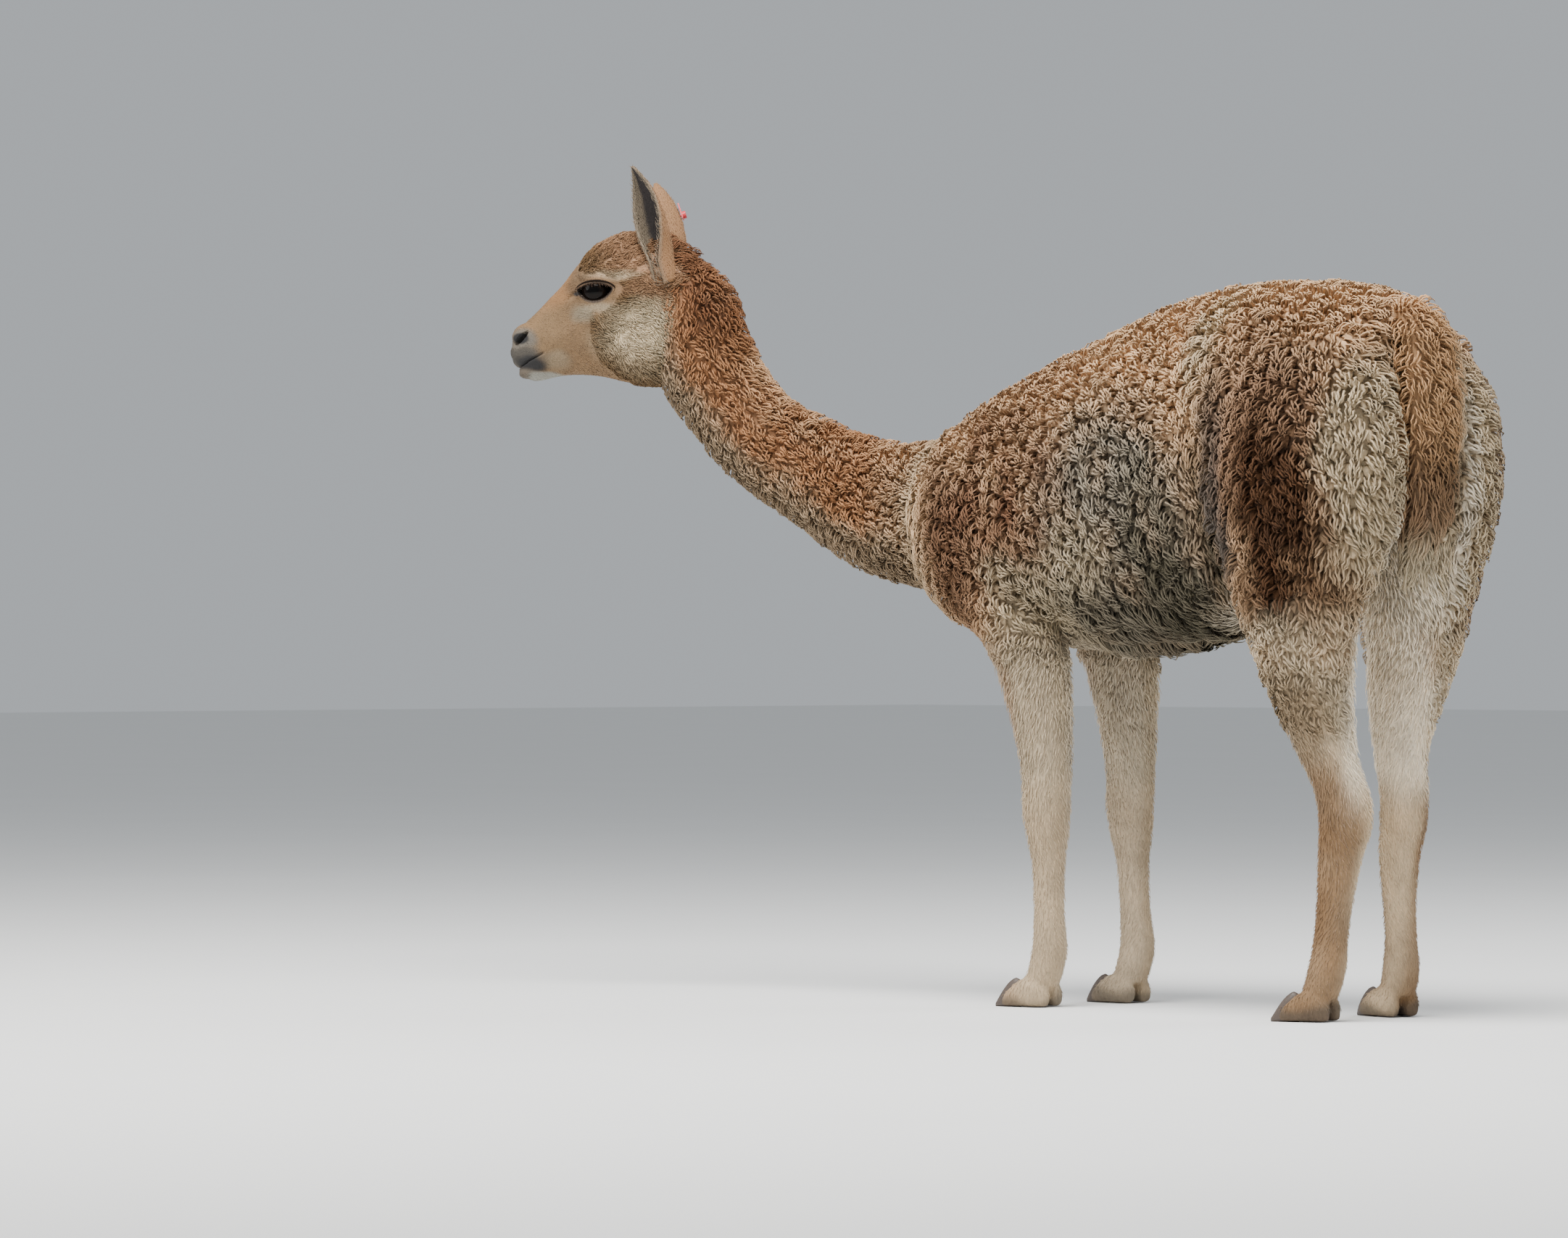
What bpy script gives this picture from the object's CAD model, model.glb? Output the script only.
"""A vicuna, life size, standing still with its neck carried low and its head turned to the left.

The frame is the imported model's: -X is where the body faces, -Y is the animal's left, Z is up from the floor.
Places on the body are given as how far they lie ahead of the tail root, right of the spine and above
the floor.
"""

import math
from collections import namedtuple

import bmesh
import bpy
import numpy as np
from mathutils import Matrix, Vector
from mathutils.bvhtree import BVHTree
from mathutils.kdtree import KDTree


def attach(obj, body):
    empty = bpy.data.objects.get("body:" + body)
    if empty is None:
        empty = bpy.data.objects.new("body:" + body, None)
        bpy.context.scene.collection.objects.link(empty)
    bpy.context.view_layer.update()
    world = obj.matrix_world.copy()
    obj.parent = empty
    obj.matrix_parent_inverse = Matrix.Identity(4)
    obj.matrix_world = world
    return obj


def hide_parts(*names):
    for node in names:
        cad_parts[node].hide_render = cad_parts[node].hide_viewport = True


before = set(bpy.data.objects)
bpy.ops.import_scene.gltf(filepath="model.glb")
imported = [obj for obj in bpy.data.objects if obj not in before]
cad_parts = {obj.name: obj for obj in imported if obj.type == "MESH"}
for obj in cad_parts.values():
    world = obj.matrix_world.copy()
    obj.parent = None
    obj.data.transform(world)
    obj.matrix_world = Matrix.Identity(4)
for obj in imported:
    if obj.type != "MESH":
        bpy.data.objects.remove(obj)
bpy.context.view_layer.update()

# Body skin
# The hide of the trunk, neck, legs and toes in one piece, which lies half way down in the fleece.
# It is lofted through the outline of each part and wrapped in one fine mesh, so that no join shows.
TAIL_ROOT_X = 0.657
SPINE_Y = 0.051
CORE_SHARE = 0.5
HIDE_VOXEL = 0.0036
HIDE_TRIANGLES = 178000

Station = namedtuple("Station", "centre across upward half_width above below square coat")
Section = namedtuple("Section", "ahead right top bottom half_width square coat")
LegRing = namedtuple("LegRing", "height ahead right half_length half_width coat")

TRUNK = [
    Section(0.006, 0, 0.868, 0.730, 0.055, 2.2, 0.030),
    Section(0.028, 0, 0.893, 0.660, 0.112, 2.3, 0.034),
    Section(0.070, 0, 0.910, 0.590, 0.146, 2.4, 0.036),
    Section(0.130, 0, 0.917, 0.540, 0.158, 2.4, 0.036),
    Section(0.210, 0, 0.919, 0.500, 0.156, 2.3, 0.036),
    Section(0.290, 0, 0.912, 0.471, 0.149, 2.2, 0.034),
    Section(0.360, 0, 0.897, 0.457, 0.151, 2.2, 0.034),
    Section(0.450, 0, 0.868, 0.449, 0.158, 2.2, 0.034),
    Section(0.540, 0, 0.837, 0.450, 0.156, 2.2, 0.034),
    Section(0.620, 0, 0.806, 0.458, 0.149, 2.3, 0.034),
    Section(0.690, 0, 0.774, 0.470, 0.137, 2.3, 0.034),
    Section(0.745, 0, 0.747, 0.498, 0.113, 2.2, 0.032),
    Section(0.790, 0, 0.722, 0.540, 0.078, 2.1, 0.030),
]

# Neck: centre (ahead, right, up), half width, half depth and coat at each row
NECK = [
    (0.700, 0.000, 0.650, 0.085, 0.100, 0.030),
    (0.790, -0.002, 0.634, 0.080, 0.098, 0.030),
    (0.871, -0.012, 0.639, 0.070, 0.091, 0.028),
    (0.925, -0.021, 0.654, 0.065, 0.084, 0.026),
    (0.990, -0.039, 0.686, 0.060, 0.073, 0.024),
    (1.072, -0.070, 0.736, 0.056, 0.067, 0.022),
    (1.114, -0.091, 0.788, 0.055, 0.066, 0.022),
    (1.148, -0.111, 0.850, 0.056, 0.072, 0.022),
    (1.166, -0.122, 0.902, 0.055, 0.074, 0.020),
    (1.178, -0.131, 0.942, 0.050, 0.062, 0.018),
    (1.186, -0.136, 0.975, 0.036, 0.040, 0.014),
]

HIND_LEG = [
    LegRing(0.840, 0.088, 0.078, 0.092, 0.068, 0.034),
    LegRing(0.750, 0.078, 0.094, 0.126, 0.080, 0.034),
    LegRing(0.660, 0.076, 0.097, 0.134, 0.077, 0.034),
    LegRing(0.590, 0.085, 0.095, 0.120, 0.069, 0.030),
    LegRing(0.520, 0.094, 0.090, 0.084, 0.058, 0.018),
    LegRing(0.460, 0.096, 0.084, 0.062, 0.048, 0.006),
    LegRing(0.400, 0.092, 0.076, 0.049, 0.040, 0),
    LegRing(0.330, 0.077, 0.065, 0.035, 0.029, 0),
    LegRing(0.285, 0.060, 0.058, 0.033, 0.026, 0),
    LegRing(0.245, 0.055, 0.056, 0.033, 0.025, 0),
    LegRing(0.205, 0.062, 0.058, 0.027, 0.023, 0),
    LegRing(0.150, 0.066, 0.063, 0.022, 0.019, 0),
    LegRing(0.100, 0.068, 0.069, 0.021, 0.018, 0),
    LegRing(0.070, 0.070, 0.072, 0.023, 0.021, 0),
    LegRing(0.045, 0.075, 0.075, 0.023, 0.022, 0),
    LegRing(0.028, 0.081, 0.076, 0.022, 0.021, 0),
]

FORELEG = [
    LegRing(0.640, 0.655, 0.075, 0.075, 0.058, 0.034),
    LegRing(0.550, 0.620, 0.082, 0.080, 0.055, 0.034),
    LegRing(0.490, 0.585, 0.084, 0.062, 0.047, 0.018),
    LegRing(0.430, 0.562, 0.080, 0.047, 0.039, 0.004),
    LegRing(0.360, 0.550, 0.077, 0.036, 0.032, 0),
    LegRing(0.300, 0.545, 0.075, 0.030, 0.028, 0),
    LegRing(0.255, 0.546, 0.074, 0.029, 0.028, 0),
    LegRing(0.220, 0.544, 0.074, 0.025, 0.025, 0),
    LegRing(0.180, 0.542, 0.074, 0.020, 0.019, 0),
    LegRing(0.120, 0.540, 0.075, 0.019, 0.018, 0),
    LegRing(0.075, 0.538, 0.076, 0.022, 0.021, 0),
    LegRing(0.045, 0.546, 0.076, 0.022, 0.022, 0),
    LegRing(0.028, 0.554, 0.076, 0.022, 0.021, 0),
]

# Each leg: its rings, its side, how far ahead its foot and how far back its middle stand, and how far it
# turns out
LEGS = {
    "hind_left": (HIND_LEG, -1, 0.000, 0.000, math.radians(14)),
    "hind_right": (HIND_LEG, 1, 0.006, 0.030, math.radians(20)),
    "fore_left": (FORELEG, -1, 0.000, 0.000, math.radians(6)),
    "fore_right": (FORELEG, 1, -0.012, 0.000, math.radians(6)),
}
MIDDLE_HEIGHT = 0.46
MIDDLE_REACH = 0.13
FLANK_HOLLOW = (0.232, 0.590)
FLANK_HOLLOW_REACH = (0.020, 0.120)
FLANK_HOLLOW_SHARE = 0.17

TOE_LENGTH = 0.066
TOE_HALF_WIDTH = 0.0125
TOE_SPREAD = math.radians(9)
TOE_OFF_CENTRE = 0.0125
TOE_SET_BACK = 0.020
TOE_ROWS = [
    (0.00, 0.60, 0.024), (0.20, 0.95, 0.034), (0.45, 1.05, 0.038),
    (0.70, 1.00, 0.031), (0.90, 0.80, 0.021), (1.00, 0.50, 0.012),
]


def place(ahead, right, up):
    return Vector((TAIL_ROOT_X - ahead, SPINE_Y + right, up))


def smooth_rows(rows, steps):
    """Rows of numbers along a form, filled in by a Catmull-Rom curve through each number."""
    filled = []
    for i in range(len(rows) - 1):
        before, after = rows[max(i - 1, 0)], rows[min(i + 2, len(rows) - 1)]
        for step in range(steps):
            t = step / steps
            filled.append(tuple(
                0.5 * (2 * b + (c - a) * t + (2 * a - 5 * b + 4 * c - d) * t ** 2
                       + (3 * b - a - 3 * c + d) * t ** 3)
                for a, b, c, d in zip(before, rows[i], rows[i + 1], after)
            ))
    filled.append(tuple(rows[-1]))
    return filled


def ring_point(station, turn, share):
    """A point of a station's outline, a squared oval, taken in by a share of the coat's depth."""
    inset = station.coat * share
    power = 2 / station.square
    sideways = math.copysign(abs(math.cos(turn)) ** power, math.cos(turn))
    rise = math.copysign(abs(math.sin(turn)) ** power, math.sin(turn))
    reach = station.above if rise > 0 else station.below
    return (
        station.centre
        + station.across * sideways * max(station.half_width - inset, 0.003)
        + station.upward * rise * max(reach - inset, 0.003)
    )


def loft(bm, stations, share=0.0, sides=24):
    """Adds a closed tube through the stations' outlines."""
    turn = bm.verts.layers.float.get("turn") or bm.verts.layers.float.new("turn")
    verts = bmesh.ops.create_circle(bm, segments=sides, radius=1)["verts"]
    for vert in verts:
        vert[turn] = math.atan2(vert.co.y, vert.co.x)
        vert.co = ring_point(stations[0], vert[turn], share)
    edges = list({edge for vert in verts for edge in vert.link_edges})
    bmesh.ops.contextual_create(bm, geom=verts)
    for station in stations[1:]:
        grown = bmesh.ops.extrude_edge_only(bm, edges=edges)["geom"]
        verts = [item for item in grown if isinstance(item, bmesh.types.BMVert)]
        fresh = set(verts)
        edges = [item for item in grown if isinstance(item, bmesh.types.BMEdge) and set(item.verts) <= fresh]
        for vert in verts:
            vert.co = ring_point(station, vert[turn], share)
    bmesh.ops.contextual_create(bm, geom=verts)


def trunk_stations():
    made = []
    for ahead, right, top, bottom, half_width, square, coat in smooth_rows(TRUNK, 3):
        waist = bottom + (top - bottom) * 0.52
        made.append(Station(
            place(ahead, right, waist), Vector((0, 1, 0)), Vector((0, 0, 1)),
            half_width, top - waist, waist - bottom, square, coat))
    return made


def neck_stations():
    rows = smooth_rows(NECK, 3)
    made = []
    for i, (ahead, right, up, half_width, half_depth, coat) in enumerate(rows):
        along = place(*rows[min(i + 1, len(rows) - 1)][:3]) - place(*rows[max(i - 1, 0)][:3])
        along.normalize()
        across = -along.cross(Vector((0, 0, 1))).normalized()
        upward = -across.cross(along).normalized()
        if upward.z < 0:
            upward.negate()
        made.append(Station(
            place(ahead, right, up), across, upward, half_width, half_depth, half_depth, 2.1, coat))
    return made


def leg_stations(rings, side, foot_ahead, middle_back, turn_out):
    """The rings of one leg; below the knee or hock they turn outwards and step by foot_ahead."""
    top, low = rings[0].height, rings[-1].height
    made = []
    for height, ahead, right, half_length, half_width, coat in smooth_rows(rings, 3):
        down = (top - height) / (top - low)
        turn = side * turn_out * min(1.0, down * 1.6)
        shift = foot_ahead * down - middle_back * math.exp(-(((height - MIDDLE_HEIGHT) / MIDDLE_REACH) ** 2))
        forward = Vector((-math.cos(turn), math.sin(turn), 0))
        across = Vector((math.sin(turn), math.cos(turn), 0))
        made.append(Station(
            place(ahead + shift, side * right, height), across, forward,
            half_width, half_length, half_length, 2.2, coat))
    return made


def toe_stations(leg, which, rows):
    """One toe, or its nail, from the pastern forward: each row is how far along, how wide and how high."""
    last = leg_stations(*LEGS[leg])[-1]
    turn = which * TOE_SPREAD
    along = last.upward * math.cos(turn) + last.across * math.sin(turn)
    sideways = last.across * math.cos(turn) - last.upward * math.sin(turn)
    start = last.centre + last.across * which * TOE_OFF_CENTRE - last.upward * TOE_SET_BACK
    made = []
    for reach, width, height in smooth_rows(rows, 2):
        middle = start + along * reach * TOE_LENGTH
        middle.z = height / 2
        made.append(Station(
            middle, sideways, Vector((0, 0, 1)), TOE_HALF_WIDTH * width, height / 2, height / 2, 2.3, 0))
    return made


def add_object(name, bm):
    bmesh.ops.recalc_face_normals(bm, faces=bm.faces)
    mesh = bpy.data.meshes.new(name)
    bm.to_mesh(mesh)
    bm.free()
    made = bpy.data.objects.new(name, mesh)
    bpy.context.scene.collection.objects.link(made)
    return made


def apply_modifiers(obj):
    bpy.context.view_layer.update()
    mesh = bpy.data.meshes.new_from_object(obj.evaluated_get(bpy.context.evaluated_depsgraph_get()))
    mesh.name = obj.name
    obj.modifiers.clear()
    obj.data = mesh
    return obj


def wrapped(name, bm, voxel, smoothing):
    """One closed skin round overlapping forms, with the joins between them softened."""
    made = add_object(name, bm)
    wrap = made.modifiers.new("wrap", "REMESH")
    wrap.mode = "VOXEL"
    wrap.voxel_size = voxel
    soften = made.modifiers.new("soften", "SMOOTH")
    soften.factor = 0.5
    soften.iterations = smoothing
    return apply_modifiers(made)


def points_of(mesh):
    points = np.empty(len(mesh.vertices) * 3, np.float32)
    mesh.vertices.foreach_get("co", points)
    return points.reshape(-1, 3).astype(np.float64)


def normals_of(mesh):
    normals = np.empty(len(mesh.vertices) * 3, np.float32)
    mesh.vertices.foreach_get("normal", normals)
    return normals.reshape(-1, 3).astype(np.float64)


def set_points(mesh, points):
    mesh.vertices.foreach_set("co", points.astype(np.float32).ravel())
    mesh.update()


bm = bmesh.new()
loft(bm, trunk_stations(), CORE_SHARE, 40)
loft(bm, neck_stations(), CORE_SHARE, 32)
for leg, details in LEGS.items():
    loft(bm, leg_stations(*details), CORE_SHARE, 28)
    for which in (-1, 1):
        loft(bm, toe_stations(leg, which, TOE_ROWS), 0, 16)
body_skin = wrapped("body_skin", bm, HIDE_VOXEL, 5)
body_points = points_of(body_skin.data)
# The hollow of the flank in front of the thigh
along = (TAIL_ROOT_X - body_points[:, 0] - FLANK_HOLLOW[0]) / FLANK_HOLLOW_REACH[0]
rise = (body_points[:, 2] - FLANK_HOLLOW[1]) / FLANK_HOLLOW_REACH[1]
hollow = np.exp(-along ** 2 - rise ** 2)
body_points[:, 1] -= (body_points[:, 1] - SPINE_Y) * hollow * FLANK_HOLLOW_SHARE
body_points[:, 2] = np.maximum(body_points[:, 2], 0.0)
set_points(body_skin.data, body_points)
thin = body_skin.modifiers.new("thin", "DECIMATE")
body_skin.data.calc_loop_triangles()
thin.ratio = min(1.0, HIDE_TRIANGLES / len(body_skin.data.loop_triangles))
apply_modifiers(body_skin)
body_skin.data.shade_smooth()
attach(body_skin, "root")
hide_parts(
    "neck_upper", "neck_middle", "neck_lower", "chest", "barrel", "rump", "thigh_left",
    "thigh_right", "gaskin_left", "gaskin_right", "hock_left", "hock_right", "forearm_left", "forearm_right",
    "knee_left", "knee_right", "foot_hind_left", "foot_hind_right", "foot_fore_left", "foot_fore_right")

# Head skin
# The hide of the head down to its throat, short-haired, with the brow, the lids' bulge, cheeks and lips.
# It is finer than the body's and runs down inside the top of the neck, where the fleece hides its edge.
HEAD_TURN = math.radians(36)
POLL = (1.185, -0.136, 0.939)
HEAD_FORWARD = Vector((-math.cos(HEAD_TURN), -math.sin(HEAD_TURN), 0))
HEAD_LEFT = Vector((math.sin(HEAD_TURN), -math.cos(HEAD_TURN), 0))
HEAD_VOXEL = 0.0019
EYE_RADIUS = 0.0205
EYE_FORWARD = 0.0935
EYE_SIDE = 0.0310
EYE_UP = 0.937
EYE_LENGTH = 0.0235
EYE_ABOVE = 0.0066
EYE_BELOW = 0.0150
EYE_CORNERS_UP = 0.9385
EYE_TILT = math.radians(-3)

# How far forward of the poll, top and bottom above the floor, half width, where it is widest, squareness
HEAD = [
    (-0.030, 0.985, 0.850, 0.036, 0.55, 2.0),
    (0.000, 1.004, 0.815, 0.044, 0.55, 2.1),
    (0.030, 1.012, 0.812, 0.048, 0.58, 2.2),
    (0.060, 1.013, 0.816, 0.050, 0.62, 2.2),
    (0.085, 1.004, 0.822, 0.050, 0.64, 2.2),
    (0.105, 0.992, 0.825, 0.047, 0.64, 2.2),
    (0.125, 0.973, 0.826, 0.041, 0.60, 2.1),
    (0.145, 0.948, 0.825, 0.035, 0.56, 2.0),
    (0.165, 0.928, 0.821, 0.030, 0.54, 2.0),
    (0.185, 0.910, 0.818, 0.027, 0.54, 2.1),
    (0.200, 0.898, 0.822, 0.025, 0.55, 2.2),
    (0.212, 0.886, 0.834, 0.020, 0.52, 2.2),
    (0.220, 0.874, 0.842, 0.011, 0.50, 2.0),
]


def on_head(forward, left, up):
    """A place on the head: forward of the poll, to the head's left, above the floor."""
    base = place(*POLL)
    return Vector((base.x, base.y, 0)) + HEAD_FORWARD * forward + HEAD_LEFT * left + Vector((0, 0, up))


def head_frame(points):
    """Points as how far forward of the poll, to the head's left and above the floor."""
    away = points - np.array(on_head(0, 0, 0))
    return np.column_stack([away @ np.array(HEAD_FORWARD), away @ np.array(HEAD_LEFT), points[:, 2]])


def from_head_frame(places):
    forward, left, up = places[:, :1], places[:, 1:2], places[:, 2:]
    poll = np.array(on_head(0, 0, 0))
    return poll + forward * np.array(HEAD_FORWARD) + left * np.array(HEAD_LEFT) + up * np.array((0, 0, 1))


def head_stations():
    made = []
    for forward, top, bottom, half_width, widest, square in smooth_rows(HEAD, 3):
        waist = bottom + (top - bottom) * widest
        made.append(Station(
            on_head(forward, 0, waist), HEAD_LEFT, Vector((0, 0, 1)),
            half_width, top - waist, waist - bottom, square, 0))
    return made


def ball(bm, centre, radii, turn=0.0):
    """Adds an oval ball along the head's forward, left and up, pitched nose down by turn."""
    axes = Matrix((HEAD_FORWARD, HEAD_LEFT, Vector((0, 0, 1)))).transposed() @ Matrix.Rotation(turn, 3, "Y")
    matrix = Matrix.Translation(centre) @ axes.to_4x4() @ Matrix.Diagonal((*radii, 1))
    bmesh.ops.create_uvsphere(bm, u_segments=24, v_segments=14, radius=1, matrix=matrix)


MUZZLE_STARTS, MUZZLE_REACH, MUZZLE_SET_BACK = 0.165, 0.040, 0.0055


def head_places(points):
    """Places in the head's frame, measured as they were before the muzzle was set back."""
    places = head_frame(points)
    past = (places[:, 0] - MUZZLE_STARTS) / (1 - MUZZLE_SET_BACK / MUZZLE_REACH)
    places[:, 0] += np.clip(past - (places[:, 0] - MUZZLE_STARTS), 0, MUZZLE_SET_BACK)
    return places


bm = bmesh.new()
loft(bm, head_stations(), 0, 40)
loft(bm, neck_stations()[-14:], 0.8, 32)
for side in (-1, 1):
    # Brow ridge and the lids' bulge
    ball(bm, on_head(0.086, side * 0.034, 0.952), (0.034, 0.017, 0.016), math.radians(-14))
    ball(bm, on_head(EYE_FORWARD, side * EYE_SIDE, EYE_UP), (0.0245, 0.0205, 0.0190))
    # Cheek and the angle of the jaw
    ball(bm, on_head(0.040, side * 0.026, 0.870), (0.050, 0.022, 0.045))
    # Wings of the nostrils, the two halves of the upper lip, the lower lip
    ball(bm, on_head(0.203, side * 0.011, 0.881), (0.018, 0.0125, 0.013), math.radians(35))
    ball(bm, on_head(0.206, side * 0.010, 0.856), (0.016, 0.0135, 0.015))
    ball(bm, on_head(0.190, side * 0.007, 0.834), (0.022, 0.014, 0.011), math.radians(22))
    # Muscle round the ear's root
    ball(bm, on_head(-0.004, side * 0.031, 0.954), (0.026, 0.016, 0.022))
head_skin = wrapped("head_skin", bm, HEAD_VOXEL, 6)

bm = bmesh.new()
bm.from_mesh(head_skin.data)
fine = set()
places = head_frame(np.array([vert.co for vert in bm.verts]))
near_eye = (np.hypot(places[:, 0] - EYE_FORWARD, places[:, 2] - EYE_UP) < 0.032) & (abs(places[:, 1]) > 0.025)
near_lips = places[:, 0] > 0.160
bm.verts.ensure_lookup_table()
for index in np.nonzero(near_eye | near_lips)[0]:
    fine.update(bm.verts[index].link_edges)
bmesh.ops.subdivide_edges(bm, edges=list(fine), cuts=1, use_grid_fill=True)
bm.to_mesh(head_skin.data)
bm.free()
whole_head = BVHTree.FromObject(head_skin, bpy.context.evaluated_depsgraph_get())


def almond(places, side, swell=0.0):
    """How far out a place lies in the opening between the lids: 0 in its middle, 1 on its edge."""
    along, rise = places[:, 0] - EYE_FORWARD, places[:, 2] - EYE_CORNERS_UP
    turned = along * math.cos(EYE_TILT) + rise * math.sin(EYE_TILT)
    height = rise * math.cos(EYE_TILT) - along * math.sin(EYE_TILT)
    length = EYE_LENGTH + swell
    half = np.where(height > 0, EYE_ABOVE, EYE_BELOW) + swell
    room = np.clip(1 - (turned / length) ** 2, 0.0004, 1) ** 0.75 * half
    out = np.maximum(abs(height) / room, abs(turned) / length)
    return np.where(places[:, 1] * side > 0.02, out, 9.0)


def dent(places, centre, reaches, turn, depth, push, steep):
    """Presses the skin in over an oval of the head's frame, with a steep rim or a soft one."""
    away = places - np.array(centre)
    along = away[:, 0] * math.cos(turn) - away[:, 2] * math.sin(turn)
    rise = away[:, 0] * math.sin(turn) + away[:, 2] * math.cos(turn)
    out = (along / reaches[0]) ** 2 + (away[:, 1] / reaches[1]) ** 2 + (rise / reaches[2]) ** 2
    weight = np.clip((1 - out) * 1.6, 0, 1) ** 0.7 if steep else np.clip(1 - out, 0, 1) ** 2.0
    return places + weight[:, None] * np.array(push) * depth


# Each dent: its centre, reaches, pitch, depth, the way it is pressed in and whether its rim is steep
DENTS = [
    # Tear trough from the eye's front corner, hollow of the cheek and of the temple
    ((0.124, 0.040, 0.931), (0.013, 0.024, 0.0062), 28, 0.0035, (0, -1), False),
    ((0.140, 0.035, 0.900), (0.046, 0.040, 0.024), 30, 0.0030, (0, -1), False),
    ((0.045, 0.046, 0.940), (0.030, 0.030, 0.024), 0, 0.0030, (0, -1), False),
    # Nostril, a deep slit that is wider in front
    ((0.2045, 0.0215, 0.8745), (0.0150, 0.013, 0.0044), 40, 0.0110, (-0.5, -0.8), True),
]
SOCKET_DEPTH = 0.016
places = head_frame(points_of(head_skin.data))
for side in (-1, 1):
    inside = almond(places, side) < 1
    places[inside, 1] -= side * SOCKET_DEPTH
    for (forward, left, up), reaches, pitch, depth, (back, inwards), steep in DENTS:
        centre, push = (forward, side * left, up), (back, side * inwards, 0)
        places = dent(places, centre, reaches, math.radians(pitch), depth, push, steep)
# Line of the mouth, rising to the corners of the lips, and the split of the upper lip
front, corner = np.array((0.213, 0.8350)), np.array((0.164, 0.8570))
along = (corner - front) / np.linalg.norm(corner - front)
across = (places[:, 0] - front[0]) * along[1] - (places[:, 2] - front[1]) * along[0]
reach = (places[:, 0] - front[0]) * along[0] + (places[:, 2] - front[1]) * along[1]
mouth = np.exp(-(across / 0.0014) ** 2) * np.clip((0.052 - reach) / 0.006, 0, 1)
split = np.exp(-(places[:, 1] / 0.0012) ** 2) * np.clip((places[:, 0] - 0.205) / 0.006, 0, 1)
split *= np.clip((places[:, 2] - 0.843) / 0.004, 0, 1) * np.clip((0.876 - places[:, 2]) / 0.006, 0, 1)
places[:, 0] -= 0.0038 * mouth * (reach < 0.02) + 0.0032 * split
places[:, 1] -= np.sign(places[:, 1]) * 0.0034 * mouth
places[:, 0] -= np.clip((places[:, 0] - MUZZLE_STARTS) / MUZZLE_REACH, 0, 1) * MUZZLE_SET_BACK
set_points(head_skin.data, from_head_frame(places))
head_skin.data.shade_smooth()
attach(head_skin, "root")
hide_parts("head")

# Markings
# The colours of the coat, worked out for any place on the animal and used alike by the hide and every lock.
# Cinnamon over the back, grey cream on the flank, dark thigh and shoulder, rust nape, pale legs and cheeks.
def srgb(red, green, blue):
    return np.array([(level / 255 / 12.92) if level < 11 else ((level / 255 + 0.055) / 1.055) ** 2.4
                     for level in (red, green, blue)])


CINNAMON = srgb(218, 179, 137)
BACK_TAN = srgb(155, 118, 91)
GREY_CREAM = srgb(144, 133, 116)
DIRTY_GREY = srgb(102, 95, 78)
THIGH_BROWN = srgb(80, 53, 33)
SHOULDER_BROWN = srgb(132, 95, 70)
CREAM = srgb(202, 184, 152)
WHITE_WOOL = srgb(233, 219, 196)
CHEST_CREAM = srgb(217, 196, 162)
NECK_RUST = srgb(168, 120, 82)
NAPE_RUST = srgb(110, 68, 43)
NECK_GREY = srgb(156, 134, 108)
TAIL_RUST = srgb(196, 151, 106)
HEAD_CINNAMON = srgb(157, 120, 89)
BRIDGE_TAN = srgb(127, 91, 54)
FACE_TAN = srgb(111, 86, 58)
MUZZLE_TAN = srgb(113, 89, 60)
SLATE = srgb(68, 63, 56)
LIP_DARK = srgb(40, 38, 38)
LID_BROWN = srgb(70, 58, 48)
LEG_CREAM = srgb(190, 172, 144)
LEG_PATCH = srgb(142, 110, 82)
LEG_TAN = srgb(148, 120, 86)
HOCK_TAN = srgb(118, 88, 56)
WAVES = [
    (0.9, 0.3, -0.3), (-0.5, 0.8, 0.4), (0.2, -0.6, 0.8),
    (-0.7, -0.4, -0.6), (0.4, 0.5, 0.75), (-0.2, 0.9, -0.5),
]


def wobble(points, size, start=0.0):
    """Soft irregular patches from -1 to 1, about size across, the same for the hide and the coat."""
    total = np.zeros(len(points))
    for i, wave in enumerate(WAVES):
        stretch = 6.28 / (size * (1.3 + 0.27 * i))
        bend = np.sin(points @ np.array(WAVES[(i + 2) % len(WAVES)]) * stretch * 0.55 + start + i)
        total += np.sin(points @ np.array(wave) * stretch + start * 1.7 + i * 2.1 + bend * 1.5)
    return total / len(WAVES) * 1.7


def step(value, low, high):
    t = np.clip((np.asarray(value) - low) / (high - low), 0, 1)
    return t * t * (3 - 2 * t)


def near(points, centre, reaches, soft=0.35):
    """1 inside an oval, 0 outside it, with a soft irregular edge."""
    out = np.linalg.norm((points - np.array(centre)) / np.array(reaches), axis=1)
    return 1 - step(out, 1 - soft, 1 + soft)


def over(colours, colour, amount):
    return colours * (1 - amount[:, None]) + colour * amount[:, None]


def patch(colours, points, colour, centre, reaches, soft=0.35, share=1.0):
    """Lays a colour over an oval patch."""
    return over(colours, colour, np.clip(near(points, centre, reaches, soft) * share, 0, 1))


def nearest_row(points, stations):
    """The nearest of a form's stations, and how far to its side and above its middle a point lies."""
    centres = np.array([station.centre for station in stations])
    nearest = np.argmin(((points[:, None, :] - centres[None]) ** 2).sum(2), axis=1)
    away = points - centres[nearest]
    across = (away * np.array([station.across for station in stations])[nearest]).sum(1)
    rise = (away * np.array([station.upward for station in stations])[nearest]).sum(1)
    return nearest, across, rise


def body_frame(points):
    """How far ahead of the tail root, right of the spine and above the floor points lie."""
    return TAIL_ROOT_X - points[:, 0], points[:, 1] - SPINE_Y, points[:, 2]


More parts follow.
